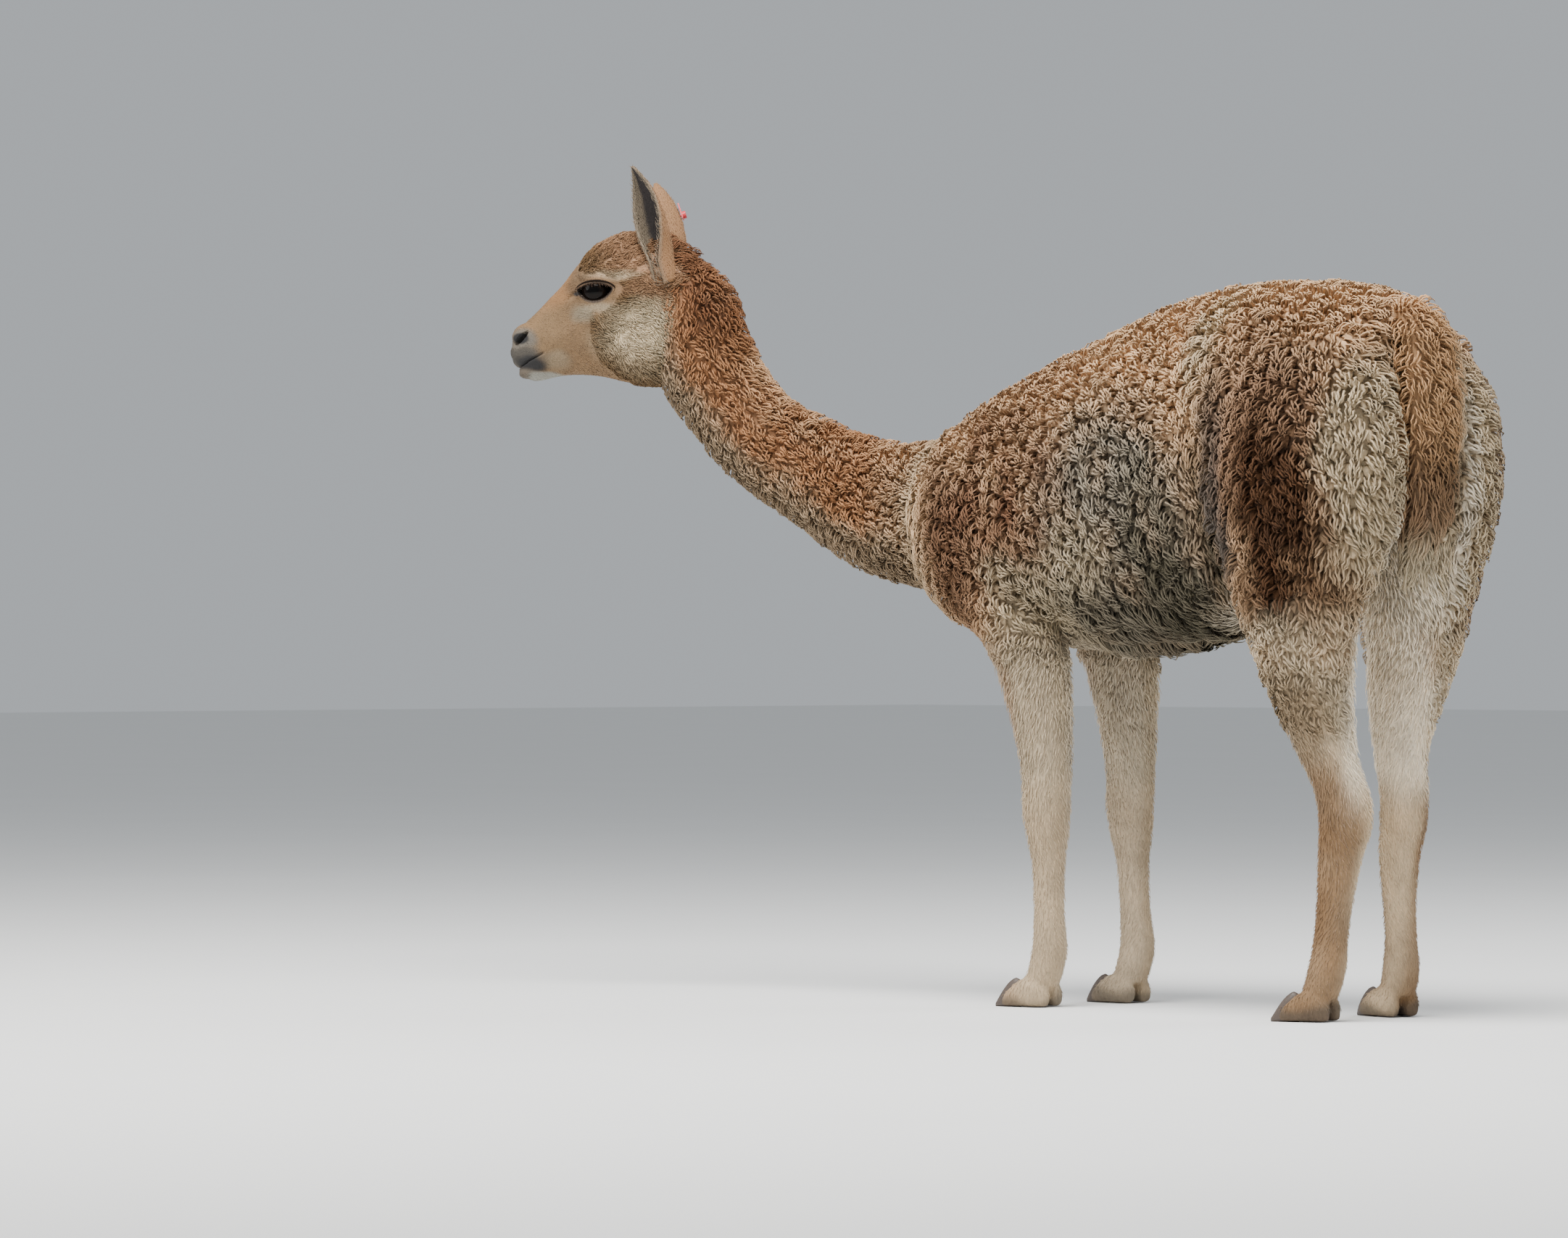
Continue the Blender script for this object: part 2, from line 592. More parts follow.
def body_colours(points):
    """The coat's colour at places on the trunk, neck, legs and tail."""
    ahead, right, up = body_frame(points)
    shift = wobble(points, 0.07) * 0.012
    body = np.column_stack([ahead + shift, abs(right) + wobble(points, 0.06, 2.0) * 0.008, up + shift * 1.2])
    ahead, side, up = body[:, 0], body[:, 1], body[:, 2]
    blotch = wobble(points, 0.05, 5.0)
    colours = np.tile(BACK_TAN, (len(points), 1))
    colours = over(colours, CINNAMON, 0.66 + 0.22 * step(wobble(points, 0.09, 3.0), -0.4, 0.6))
    # Flank and belly: cream grey, dirty towards the thigh and dark along the belly
    dirty, mottled = 0.75 + 0.5 * blotch, 0.75 + 0.45 * blotch
    for colour, centre, reaches, soft, share in (
            (GREY_CREAM, (0.380, 0.15, 0.560), (0.150, 0.3, 0.200), 0.35, 0.95 + 0.35 * blotch),
            (CREAM, (0.450, 0.15, 0.570), (0.055, 0.2, 0.060), 0.6, 0.6),
            (CREAM, (0.232, 0.15, 0.840), (0.022, 0.2, 0.070), 0.7, 0.7),
            (DIRTY_GREY, (0.315, 0.15, 0.560), (0.060, 0.2, 0.110), 0.5, dirty)):
        colours = patch(colours, body, colour, centre, reaches, soft, share)
    belly = (1 - step(up, 0.50, 0.56)) * step(ahead, 0.22, 0.32) * (1 - step(ahead, 0.50, 0.60))
    colours = over(colours, DIRTY_GREY * 0.8, belly * 0.65)
    # Shoulder, then the thigh: dark brown on its side and grey along its front edge
    for colour, centre, reaches, soft, share in (
            (SHOULDER_BROWN, (0.585, 0.14, 0.655), (0.108, 0.2, 0.118), 0.6, mottled),
            (SHOULDER_BROWN * 0.75, (0.670, 0.10, 0.575), (0.050, 0.2, 0.100), 0.5, 0.85),
            (CREAM * 0.85, (0.545, 0.14, 0.520), (0.060, 0.2, 0.060), 0.5, 0.8),
            (GREY_CREAM * (0.22, 0.27, 0.36), (0.190, 0.14, 0.640), (0.032, 0.2, 0.150), 0.5, 0.9),
            (DIRTY_GREY * 0.7, (0.236, 0.14, 0.600), (0.013, 0.2, 0.110), 0.6, 0.9),
            (BACK_TAN * 0.70, (0.100, 0.15, 0.720), (0.090, 0.2, 0.125), 0.5, 0.85),
            (THIGH_BROWN, (0.082, 0.15, 0.605), (0.062, 0.2, 0.158), 0.6, 1.0 + 0.45 * blotch)):
        colours = patch(colours, body, colour, centre, reaches, soft, share)
    # Buttocks, pale behind and between the legs, brown along the far edge
    rear = (1 - step(ahead, 0.000, 0.032)) * step(up, 0.42, 0.50) * (1 - step(up, 0.77, 0.86))
    colours = over(colours, CREAM, rear * 0.85)
    right_of_tail = step(right, 0.020, 0.038) * (1 - step(right, 0.066, 0.088))
    colours = over(colours, WHITE_WOOL, rear * right_of_tail * 0.9)
    far_edge = step(right, 0.100, 0.128) * (1 - step(ahead, 0.06, 0.10)) * step(up, 0.44, 0.50)
    colours = over(colours, SHOULDER_BROWN, far_edge * (0.6 + 0.3 * blotch))
    inner = (1 - step(side, 0.050, 0.080)) * (1 - step(up, 0.60, 0.70)) * (1 - step(ahead, 0.24, 0.30))
    colours = over(colours, WHITE_WOOL, inner)
    faint = 0.85 + 0.15 * blotch
    gaskin = (1 - step(up, 0.47, 0.53)) * (1 - step(ahead, 0.26, 0.30)) * step(side, 0.050, 0.080)
    colours = over(colours, np.minimum(LEG_CREAM * 1.30, 1), gaskin * faint)
    # Hind leg below the fleece
    hind = (1 - step(up, 0.400, 0.460)) * (1 - step(ahead, 0.28, 0.34))
    colours = over(colours, np.minimum(LEG_CREAM * 1.25, 1), hind)
    outer = step(abs(right), 0.060, 0.085)
    colours = over(colours, HOCK_TAN, hind * outer * (1 - step(up, 0.300, 0.360)) * faint)
    colours = over(colours, LEG_TAN * 1.3, hind * (1 - outer) * (1 - step(up, 0.280, 0.340)) * 0.35)
    shank = hind * step(abs(right), 0.045, 0.068) * (1 - step(up, 0.235, 0.300))
    colours = over(colours, HOCK_TAN, shank * (0.72 + 0.18 * blotch))
    for colour, centre, reaches, share in (
            (MUZZLE_TAN, (0.11, 0.1, 0.40), (0.06, 0.1, 0.10), hind * outer * 0.7),
            (HOCK_TAN, (0.06, 0.09, 0.255), (0.05, 0.05, 0.05), hind * 0.65),
            (HOCK_TAN, (0.095, 0.09, 0.150), (0.03, 0.05, 0.10), hind * 0.55)):
        colours = patch(colours, body, colour, centre, reaches, share=share)
    colours = over(colours, WHITE_WOOL, hind * (1 - outer) * step(up, 0.250, 0.320) * 0.95)
    # Foreleg
    fore = (1 - step(up, 0.445, 0.50)) * step(ahead, 0.42, 0.48)
    colours = over(colours, LEG_CREAM * 0.86, fore)
    stripe = fore * step(ahead, 0.560, 0.590) * (1 - step(up, 0.42, 0.5))
    colours = over(colours, LEG_PATCH * 1.15, stripe * 0.55)
    colours = over(colours, WHITE_WOOL * 0.75, fore * (1 - step(abs(right), 0.060, 0.080)) * 0.4)
    colours = over(colours, LEG_TAN * 1.25, fore * (1 - step(up, 0.240, 0.330)) * 0.30)
    # Chest and neck
    chest = step(ahead, 0.705, 0.810) * (1 - 0.35 * step(ahead, 0.780, 0.830))
    colours = over(colours, CHEST_CREAM * 0.80, chest * 0.85)
    nearest, across, rise = nearest_row(points, NECK_STATIONS)
    depth = np.array([station.above for station in NECK_STATIONS])[nearest]
    height = np.clip(rise / depth, -1, 1) + wobble(points, 0.04, 7.0) * 0.15
    neck = step(ahead, 0.770, 0.900)
    colours = over(colours, NECK_RUST, neck * step(height, -0.75, 0.0))
    under = step(ahead, 0.730, 0.840) * (1 - step(height, -0.85, -0.10))
    colours = over(colours, NECK_GREY * 0.74, under * 0.9)
    colours = over(colours, CINNAMON, neck * step(height, 0.25, 0.8) * 0.55 * step(blotch, -0.6, 0.4))
    nape = neck * step(up, 0.83, 0.90) * step(height, -0.3, 0.5)
    colours = over(colours, NAPE_RUST, nape * (0.75 + 0.25 * blotch))
    # Tail
    tail = (TAIL_ROOT_X - points[:, 0] < 0.002) & (abs(right) < 0.062) & (up > 0.5)
    hang = over(np.tile(TAIL_RUST, (len(points), 1)), CREAM * 0.9, 1 - step(up, 0.585, 0.640))
    hang = over(hang, CREAM, step(right, 0.022, 0.045) * 0.8)
    hang = patch(hang, body, THIGH_BROWN * 1.3, (-0.03, 0.0, 0.660), (0.05, 0.06, 0.045), 0.5, 0.7)
    colours[tail] = over(colours[tail], hang[tail], np.full(tail.sum(), 0.9))
    # Feet
    colours = over(colours, SLATE, (1 - step(up, 0.010, 0.026)) * 0.7)
    return np.clip(colours * (1 + 0.10 * wobble(points, 0.035, 9.0)[:, None]), 0, 1)


NECK_STATIONS = neck_stations()


def head_colours(points):
    """The coat's colour at places on the head."""
    places = head_places(points)
    forward, left, up = places.T
    side = abs(left) + wobble(points, 0.025, 1.0) * 0.002
    head = np.column_stack([
        forward + wobble(points, 0.03) * 0.004, side, up + wobble(points, 0.028, 4.0) * 0.003])
    forward, side, up = head.T
    colours = np.tile(FACE_TAN, (len(points), 1))
    pale_cheek = np.minimum(CREAM * 1.12, 1)
    colours = patch(colours, head, pale_cheek, (-0.005, 0.040, 0.872), (0.085, 0.06, 0.056), 0.4)
    jaw = (1 - step(up, 0.838, 0.868)) * (1 - step(forward, 0.11, 0.15))
    colours = over(colours, FACE_TAN * 1.35, jaw * 0.5)
    # Crown, forehead and bridge of the nose
    ridge = 0.985 - 0.62 * np.clip(forward - 0.085, 0, 1) - 0.10 * np.clip(forward - 0.15, 0, 1)
    top = step(up, ridge - 0.040, ridge - 0.018)
    colours = over(colours, HEAD_CINNAMON, top * (1 - step(forward, 0.09, 0.13)))
    colours = over(colours, BRIDGE_TAN, top * step(forward, 0.09, 0.13))
    colours = over(colours, HEAD_CINNAMON, (1 - step(forward, -0.01, 0.03)) * step(up, 0.90, 0.95))
    # In front of the eye, the stripe above it, the temple, the forehead and the pale patches below the eye
    for colour, centre, reaches, soft, share in (
            (FACE_TAN * 0.60, (0.122, 0.040, 0.943), (0.024, 0.02, 0.016), 0.5, 0.8),
            (FACE_TAN * 0.72, (0.112, 0.036, 0.960), (0.026, 0.02, 0.014), 0.5, 0.8),
            (CREAM * 0.92, (0.066, 0.047, 0.957), (0.028, 0.016, 0.0048), 0.9, 0.65),
            (HEAD_CINNAMON, (0.022, 0.048, 0.942), (0.040, 0.02, 0.013), 0.35, 0.75),
            (FACE_TAN * 0.95, (0.100, 0.030, 0.972), (0.030, 0.030, 0.018), 0.6, 0.7),
            (CREAM * 0.30, (0.112, 0.045, 0.908), (0.015, 0.02, 0.0110), 0.6, 0.85),
            (CREAM * 0.48, (0.082, 0.045, 0.914), (0.028, 0.02, 0.005), 0.7, 0.6)):
        colours = patch(colours, head, colour, centre, reaches, soft, share)
    # Muzzle, lips and chin
    colours = over(colours, MUZZLE_TAN, step(forward, 0.120, 0.165) * (1 - step(up, 0.905, 0.93)) * 0.8)
    colours = over(colours, SLATE * 1.6, step(forward, 0.168, 0.192) * (1 - step(up, 0.868, 0.882)) * 0.8)
    mirrored = np.column_stack([places[:, 0], abs(places[:, 1]), places[:, 2]])
    chin = GREY_CREAM * (0.85, 1.0, 1.15)
    for where, colour, centre, reaches, soft, share in (
            (head, CREAM * 0.48, (0.152, 0.030, 0.844), (0.018, 0.03, 0.012), 0.5, 0.40),
            (head, SLATE * 0.9, (0.200, 0.010, 0.851), (0.040, 0.030, 0.0140), 0.35, 1.0),
            (head, SLATE * 1.9, (0.203, 0.022, 0.8760), (0.022, 0.015, 0.0125), 0.35, 0.95),
            (mirrored, LIP_DARK * 0.5, (0.2045, 0.0215, 0.8745), (0.013, 0.02, 0.0075), 0.2, 1.0),
            (head, LIP_DARK * 0.6, (0.186, 0.010, 0.8410), (0.026, 0.030, 0.0120), 0.3, 1.0),
            (head, chin, (0.172, 0.008, 0.8225), (0.022, 0.022, 0.0085), 0.35, 0.9)):
        colours = patch(colours, where, colour, centre, reaches, soft, share)
    # Bare rims of the lids and the tear trough
    for facing in (-1, 1):
        rim = almond(places, facing, 0.0030)
        colours = over(colours, LID_BROWN, 1 - step(rim, 0.95, 1.15))
    colours = patch(colours, places, LIP_DARK, (0.119, 0.0415, 0.9325), (0.006, 0.02, 0.0028), share=0.9)
    return np.clip(colours * (1 + 0.07 * wobble(points, 0.016, 9.0)[:, None]), 0, 1)


def paint(obj, colours):
    """Keeps a colour for each vertex, which the piece's material reads."""
    layer = obj.data.attributes.new("coat", "FLOAT_COLOR", "POINT")
    values = np.column_stack([colours, np.ones(len(colours))])
    layer.data.foreach_set("color", values.astype(np.float32).ravel())


class Level:
    """A value that varies over a surface; sums written on it become Math nodes."""

    def __init__(self, finish, socket):
        self.finish = finish
        self.socket = socket

    def reckon(self, operation, first, second):
        made = self.finish.node("ShaderNodeMath", {"operation": operation}, {0: first, 1: second})
        return Level(self.finish, made.outputs[0])

    def __add__(self, other):
        return self.reckon("ADD", self, other)

    def __mul__(self, other):
        return self.reckon("MULTIPLY", self, other)

    def __pow__(self, other):
        return self.reckon("POWER", self, other)

    __radd__ = __add__
    __rmul__ = __mul__


class Finish:
    """One material: its shader, and the one way in which nodes are added to it."""

    def __init__(self, name, **constants):
        self.material = bpy.data.materials.new(name)
        self.material.use_nodes = True
        self.tree = self.material.node_tree
        self.shader = self.tree.nodes["Principled BSDF"]
        for socket, value in constants.items():
            self.shader.inputs[socket.replace("_", " ")].default_value = value

    def node(self, kind, settings, sockets):
        made = self.tree.nodes.new(kind)
        for name, value in settings.items():
            setattr(made, name, value)
        for name, value in sockets.items():
            value = value.socket if isinstance(value, Level) else value
            if isinstance(value, bpy.types.NodeSocket):
                self.tree.links.new(value, made.inputs[name])
            else:
                made.inputs[name].default_value = value
        return made

    def attribute(self, name):
        return self.node("ShaderNodeAttribute", {"attribute_name": name}, {})

    def noise(self, scale, detail=3.0, stretch=(1, 1, 1), rough=0.55):
        """Noise on the object's own coordinates, in features per metre."""
        coordinates = self.node("ShaderNodeTexCoord", {}, {})
        fitted = self.node("ShaderNodeMapping", {}, {
            "Vector": coordinates.outputs["Object"], "Scale": stretch})
        made = self.node("ShaderNodeTexNoise", {}, {
            "Vector": fitted.outputs[0], "Scale": scale, "Detail": detail, "Roughness": rough})
        return Level(self, made.outputs[0])

    def strands(self, across, along):
        """Fine streaks that run along each lock, from the lock's own map."""
        lock = self.node("ShaderNodeUVMap", {"uv_map": "strand"}, {})
        fitted = self.node("ShaderNodeMapping", {}, {"Vector": lock.outputs[0], "Scale": (across, along, 1)})
        made = self.node("ShaderNodeTexNoise", {}, {
            "Vector": fitted.outputs[0], "Scale": 1.0, "Detail": 2.0})
        return Level(self, made.outputs[0])

    def times(self, colour, level):
        """A colour made lighter or darker by a level."""
        made = self.node("ShaderNodeVectorMath", {"operation": "SCALE"}, {0: colour, "Scale": level})
        return made.outputs[0]

    def mixed(self, amount, first, second):
        made = self.node("ShaderNodeMix", {"data_type": "RGBA"}, {0: amount, 6: first, 7: second})
        return made.outputs[2]

    def colour(self, value):
        self.node_to("Base Color", value)

    def node_to(self, socket, value):
        value = value.socket if isinstance(value, Level) else value
        self.tree.links.new(value, self.shader.inputs[socket])

    def bump(self, height, strength, distance):
        made = self.node("ShaderNodeBump", {}, {"Height": height, "Strength": strength, "Distance": distance})
        self.node_to("Normal", made.outputs[0])


hide = Finish("hide_under_fleece", Roughness=0.95)
hairs = hide.noise(260, 4, (1, 1, 0.35))
grain = hide.noise(900, 3, (1, 1, 0.5))
hide.colour(hide.times(hide.attribute("coat").outputs["Color"], 0.45 + hairs * 0.7 + grain * 0.3))
hide.bump(hairs * 0.7 + grain * 0.3, 0.7, 0.0025)
body_points = points_of(body_skin.data)
fleeced = step(body_points[:, 2], 0.44, 0.50)[:, None]
paint(body_skin, body_colours(body_points) * (1 - 0.30 * fleeced))
body_skin.data.materials.append(hide.material)

face = Finish("short_face_hair", Roughness=0.85)
hairs = face.noise(600, 4, (1, 1, 0.6))
grain = face.noise(1700, 3)
face.colour(face.times(face.attribute("coat").outputs["Color"], 0.55 + hairs * 0.6 + grain * 0.3))
face.bump(hairs * 0.6 + grain * 0.4, 0.6, 0.0012)
paint(head_skin, head_colours(points_of(head_skin.data)))
head_skin.data.materials.append(face.material)

# Eyes
# Glossy dark balls in the sockets, almost black, with a wide brown iris and a level oval pupil.
# Each stands for the plain ball of the model, in the same place and size.
PUPIL_HALF_LENGTH = 0.0095
PUPIL_HALF_HEIGHT = 0.0050
eyeball = Finish("eyeball", Roughness=0.06, Specular_IOR_Level=0.10)
outside_pupil = Level(eyeball, eyeball.attribute("pupil").outputs["Fac"])
fibres = eyeball.noise(900, 2)
iris = eyeball.mixed(fibres, (*srgb(11, 8, 7), 1), (*srgb(22, 15, 11), 1))
eyeball.colour(eyeball.mixed(outside_pupil, (*srgb(6, 5, 5), 1), iris))
for side, name in ((1, "left"), (-1, "right")):
    bm = bmesh.new()
    bmesh.ops.create_uvsphere(
        bm, u_segments=48, v_segments=32, radius=EYE_RADIUS,
        matrix=Matrix.Translation(on_head(EYE_FORWARD, side * EYE_SIDE, EYE_UP)))
    eye = add_object("eyeball_" + name, bm)
    places = head_places(points_of(eye.data))
    away = np.hypot(
        (places[:, 0] - EYE_FORWARD - 0.001) / PUPIL_HALF_LENGTH, (places[:, 2] - EYE_UP) / PUPIL_HALF_HEIGHT)
    layer = eye.data.attributes.new("pupil", "FLOAT", "POINT")
    layer.data.foreach_set("value", step(away, 0.9, 1.15).astype(np.float32))
    eye.data.shade_smooth()
    eye.data.materials.append(eyeball.material)
    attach(eye, "root")
    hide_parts("eye_" + name)

# Lids
# Bare dark rims round each opening, thicker above, with a fold of skin over the upper lid.
# They are rolled along the edge of the opening and lie against the ball.
lid_skin = Finish("lid_skin", Roughness=0.95, Specular_IOR_Level=0.1)
wrinkles = lid_skin.noise(700, 3)
lid_skin.colour(lid_skin.mixed(wrinkles, (*srgb(20, 15, 12), 1), (*srgb(38, 29, 23), 1)))
lid_skin.bump(wrinkles, 0.5, 0.0006)


def lid_path(side, swell, steps=40):
    """Points round the opening between the lids, on the skin, each with the way out of the opening."""
    path = []
    for i in range(steps):
        turn = 2 * math.pi * i / steps
        along = math.cos(turn) * (EYE_LENGTH + swell)
        half = (EYE_ABOVE if math.sin(turn) > 0 else EYE_BELOW) + swell
        rise = math.copysign(abs(math.sin(turn)) ** 1.3, math.sin(turn)) * half
        forward = along * math.cos(EYE_TILT) - rise * math.sin(EYE_TILT)
        up = along * math.sin(EYE_TILT) + rise * math.cos(EYE_TILT)
        start = on_head(EYE_FORWARD + forward, side * 0.12, EYE_CORNERS_UP + up)
        hit = whole_head.ray_cast(start, -HEAD_LEFT * side)[0]
        out = (HEAD_FORWARD * math.cos(turn) + Vector((0, 0, math.sin(turn)))).normalized()
        path.append((hit, out, turn))
    return path


def rolled(bm, path, outward, radius_at, sides=8):
    """Adds a closed roll of skin along a closed path."""
    rings = []
    for i, (point, out, turn) in enumerate(path):
        radius = radius_at(turn)
        facing = Matrix((out, outward, out.cross(outward))).transposed().to_4x4()
        matrix = Matrix.Translation(point) @ facing @ Matrix.Diagonal((radius, radius, radius, 1))
        ring = bmesh.ops.create_circle(bm, segments=sides, radius=1, matrix=matrix)["verts"]
        rings.append(list({edge for vert in ring for edge in vert.link_edges}))
    for first, second in zip(rings, rings[1:] + rings[:1]):
        bmesh.ops.bridge_loops(bm, edges=first + second)


def rim_radius(turn):
    return 0.0008 + 0.0007 * max(math.sin(turn), 0)


def fold_radius(turn):
    return 0.0003 + 0.0014 * max(math.sin(turn - 0.1), 0) ** 0.5


RIM_SWELL = 0.0004
FOLD_SWELL = 0.0048
ROLL_SUNK = 0.0006
for side, name in ((1, "left"), (-1, "right")):
    outward = HEAD_LEFT * side
    bm = bmesh.new()
    for swell, radius_at in ((RIM_SWELL, rim_radius), (FOLD_SWELL, fold_radius)):
        path = [(point - outward * ROLL_SUNK, out, turn) for point, out, turn in lid_path(side, swell)]
        rolled(bm, path, outward, radius_at)
    lids = add_object("lids_" + name, bm)
    lids.data.shade_smooth()
    lids.data.materials.append(lid_skin.material)
    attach(lids, "root")

# Ears
# Two cupped leaves of gristle and hide, short-haired outside and dark within, with pale fringed rims.
# They are bent from a sheet round each ear's axis, given a wall and rooted in the muscle beside the poll.
EAR_WALL = 0.0028
EAR_SHEET_STARTS = -0.24
EAR_SHEET_LENGTH = 1.23
# How far up the ear, its radius and half the angle that its cup goes round
EAR_ROWS = [
    (0.00, 0.0160, 2.75), (0.12, 0.0175, 2.45), (0.28, 0.0205, 2.05),
    (0.45, 0.0215, 1.70), (0.62, 0.0195, 1.40), (0.78, 0.0145, 1.15),
    (0.90, 0.0085, 0.95), (0.97, 0.0040, 0.80), (1.00, 0.0018, 0.70),
]
# Root, tip and the way the cup opens
EARS = {
    "left": (
        on_head(0.004, 0.038, 0.978), on_head(0.042, 0.060, 1.101), HEAD_LEFT * 0.86 + HEAD_FORWARD * 0.50),
    "right": (
        on_head(0.000, -0.036, 0.978), on_head(0.034, -0.068, 1.086), HEAD_FORWARD * 0.50 - HEAD_LEFT * 0.86),
}
EAR_OUTSIDE = srgb(134, 98, 64)
EAR_RIM = srgb(120, 107, 89)
EAR_INSIDE = srgb(40, 34, 33)


def ear_point(name, share, turn):
    """A point of an ear's middle surface, and the way out of its back there."""
    root, tip, facing = EARS[name]
    axis = (tip - root).normalized()
    facing = (facing - axis * facing.dot(axis)).normalized()
    sideways = axis.cross(facing)
    radius = float(np.interp(share, [row[0] for row in EAR_ROWS], [row[1] for row in EAR_ROWS]))
    bow = math.sin(share * math.pi) * 0.006
    flare = step(-share, -0.25, 0.30) * 0.013
    middle = root + (tip - root) * share - facing * (radius * 0.35 - bow - flare)
    outward = sideways * math.sin(turn) - facing * math.cos(turn)
    return middle + outward * radius, outward


def ear_span(share):
    return float(np.interp(share, [row[0] for row in EAR_ROWS], [row[2] for row in EAR_ROWS]))


ear_finish = Finish("ear_hair", Roughness=0.8)
hairs = ear_finish.noise(700, 4)
ear_finish.colour(ear_finish.times(ear_finish.attribute("coat").outputs["Color"], 0.6 + hairs * 0.8))
ear_finish.bump(hairs, 0.6, 0.0010)
ears = {}
for name in EARS:
    bm = bmesh.new()
    bmesh.ops.create_grid(bm, x_segments=28, y_segments=34, size=1)
    across_layer = bm.verts.layers.float.new("across")
    share_layer = bm.verts.layers.float.new("share")
    for vert in bm.verts:
        share = EAR_SHEET_STARTS + (vert.co.y + 1) / 2 * EAR_SHEET_LENGTH
        vert[across_layer], vert[share_layer] = vert.co.x, share
        # The rims roll outwards a little and the hollow has a low ridge along it
        turn = vert.co.x * ear_span(max(share, 0))
        point, outward = ear_point(name, share, turn)
        roll = max(abs(vert.co.x) - 0.80, 0) * 0.010 * max(0.0, 1 - share)
        height = 0.0012 * math.sin(math.pi * min(max(share, 0), 1))
        ridge = math.exp(-((vert.co.x - 0.42) / 0.09) ** 2) * height
        vert.co = point + outward * (roll - ridge)
    ear = add_object("ear_" + name + "_skin", bm)
    wall = ear.modifiers.new("wall", "SOLIDIFY")
    wall.thickness = EAR_WALL
    wall.offset = 0
    apply_modifiers(ear)
    ear.data.shade_smooth()
    across = np.empty(len(ear.data.vertices), np.float32)
    ear.data.attributes["across"].data.foreach_get("value", across)
    share = np.empty(len(ear.data.vertices), np.float32)
    ear.data.attributes["share"].data.foreach_get("value", share)
    outward = np.array([ear_point(name, s, a * ear_span(max(s, 0)))[1] for s, a in zip(share, across)])
    outside = (normals_of(ear.data) * outward).sum(1) > 0
    points = points_of(ear.data)
    rim = step(abs(across + 0.15) + wobble(points, 0.01) * 0.05, 0.28, 0.46)
    colours = over(np.tile(EAR_INSIDE, (len(points), 1)), EAR_RIM * 0.75, rim)
    colours = over(colours, EAR_RIM, step(abs(across), 0.80, 0.95))
    colours = over(colours, EAR_RIM, 1 - step(share, -0.14, -0.04))
    back = over(np.tile(EAR_OUTSIDE, (len(points), 1)), EAR_RIM, step(abs(across), 0.85, 1.0) * 0.6)
    colours = np.where(outside[:, None], back, colours)
    paint(ear, colours)
    ear.data.materials.append(ear_finish.material)
    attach(ear, "root")
    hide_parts("ear_" + name)
    ears[name] = (ear, across, share, outside)

# Ear tag
# Two blank plates of red plastic pinned through the right ear, with a round button on the outer one.
# The model's own solid keeps its shape and gets a worn, slightly dusty plastic.
plastic = Finish("red_plastic_worn", Roughness=0.42, Coat_Weight=0.15)
dust = plastic.noise(260, 3)
plastic.colour(plastic.mixed(dust ** 3.0, (*srgb(196, 30, 44), 1), (*srgb(214, 92, 100), 1)))
plastic.node_to("Roughness", 0.30 + dust * 0.35)
tag = bpy.data.objects["ear_tag"]
for slot in tag.material_slots:
    slot.material = plastic.material

# Nails
# Two pointed, slightly curved nails of dark horn on each foot, ridged across where they grew.
# Each is lofted out from under the hair at the tip of its toe.
NAIL_ROWS = [
    (0.58, 0.35, 0.034), (0.68, 0.62, 0.0375), (0.80, 0.74, 0.033),
    (0.93, 0.66, 0.0235), (1.06, 0.42, 0.011), (1.12, 0.22, 0.005),
]
horn = Finish("dark_horn", Roughness=0.5)
ridges = horn.noise(500, 2, (1, 1, 2.5))
horn.colour(horn.mixed(ridges, (*srgb(46, 38, 34), 1), (*srgb(96, 82, 72), 1)))
horn.bump(ridges, 0.5, 0.0008)
for leg in LEGS:
    side = 1 if "right" in leg else -1
    for which, name in ((side, "outer"), (-side, "inner")):
        bm = bmesh.new()
        loft(bm, toe_stations(leg, which, NAIL_ROWS), 0, 20)
        for vert in bm.verts:
            vert.co.z = max(vert.co.z, 0.0)
        nail = add_object(f"toenail_{leg}_{name}", bm)
        nail.data.shade_smooth()
        nail.data.materials.append(horn.material)
        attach(nail, "root")
        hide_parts(f"nail_{leg}_{name}")

# Tail
# A short tail that hangs straight down, its hide wrapped in wool down to a narrow tip.
# Its core is lofted on its own, since the tail hangs clear of the buttocks.
TAIL = [
    (0.030, 0.000, 0.872, 0.030, 0.022, 0.010),
    (0.002, 0.001, 0.868, 0.036, 0.025, 0.016),
    (-0.022, 0.003, 0.835, 0.045, 0.027, 0.020),
    (-0.032, 0.004, 0.770, 0.050, 0.026, 0.020),
    (-0.032, 0.004, 0.700, 0.048, 0.024, 0.020),
    (-0.026, 0.002, 0.640, 0.040, 0.021, 0.018),
    (-0.018, -0.004, 0.585, 0.026, 0.016, 0.014),
    (-0.012, -0.008, 0.548, 0.012, 0.009, 0.008),
]


def tail_stations():
    rows = smooth_rows(TAIL, 3)
    made = []
    for i, (ahead, right, up, half_width, half_depth, coat) in enumerate(rows):
        along = place(*rows[min(i + 1, len(rows) - 1)][:3]) - place(*rows[max(i - 1, 0)][:3])
        outward = Vector((0, 1, 0)).cross(along.normalized()).normalized()
        made.append(Station(
            place(ahead, right, up), Vector((0, 1, 0)), outward,
            half_width, half_depth, half_depth, 2.2, coat))
    return made


bm = bmesh.new()
loft(bm, tail_stations(), CORE_SHARE, 32)
bmesh.ops.subdivide_edges(bm, edges=bm.edges[:], cuts=1, use_grid_fill=True)
tail_skin = add_object("tail_skin", bm)
tail_skin.data.shade_smooth()
paint(tail_skin, body_colours(points_of(tail_skin.data)) * 0.7)
tail_skin.data.materials.append(hide.material)
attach(tail_skin, "root")
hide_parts("tail")

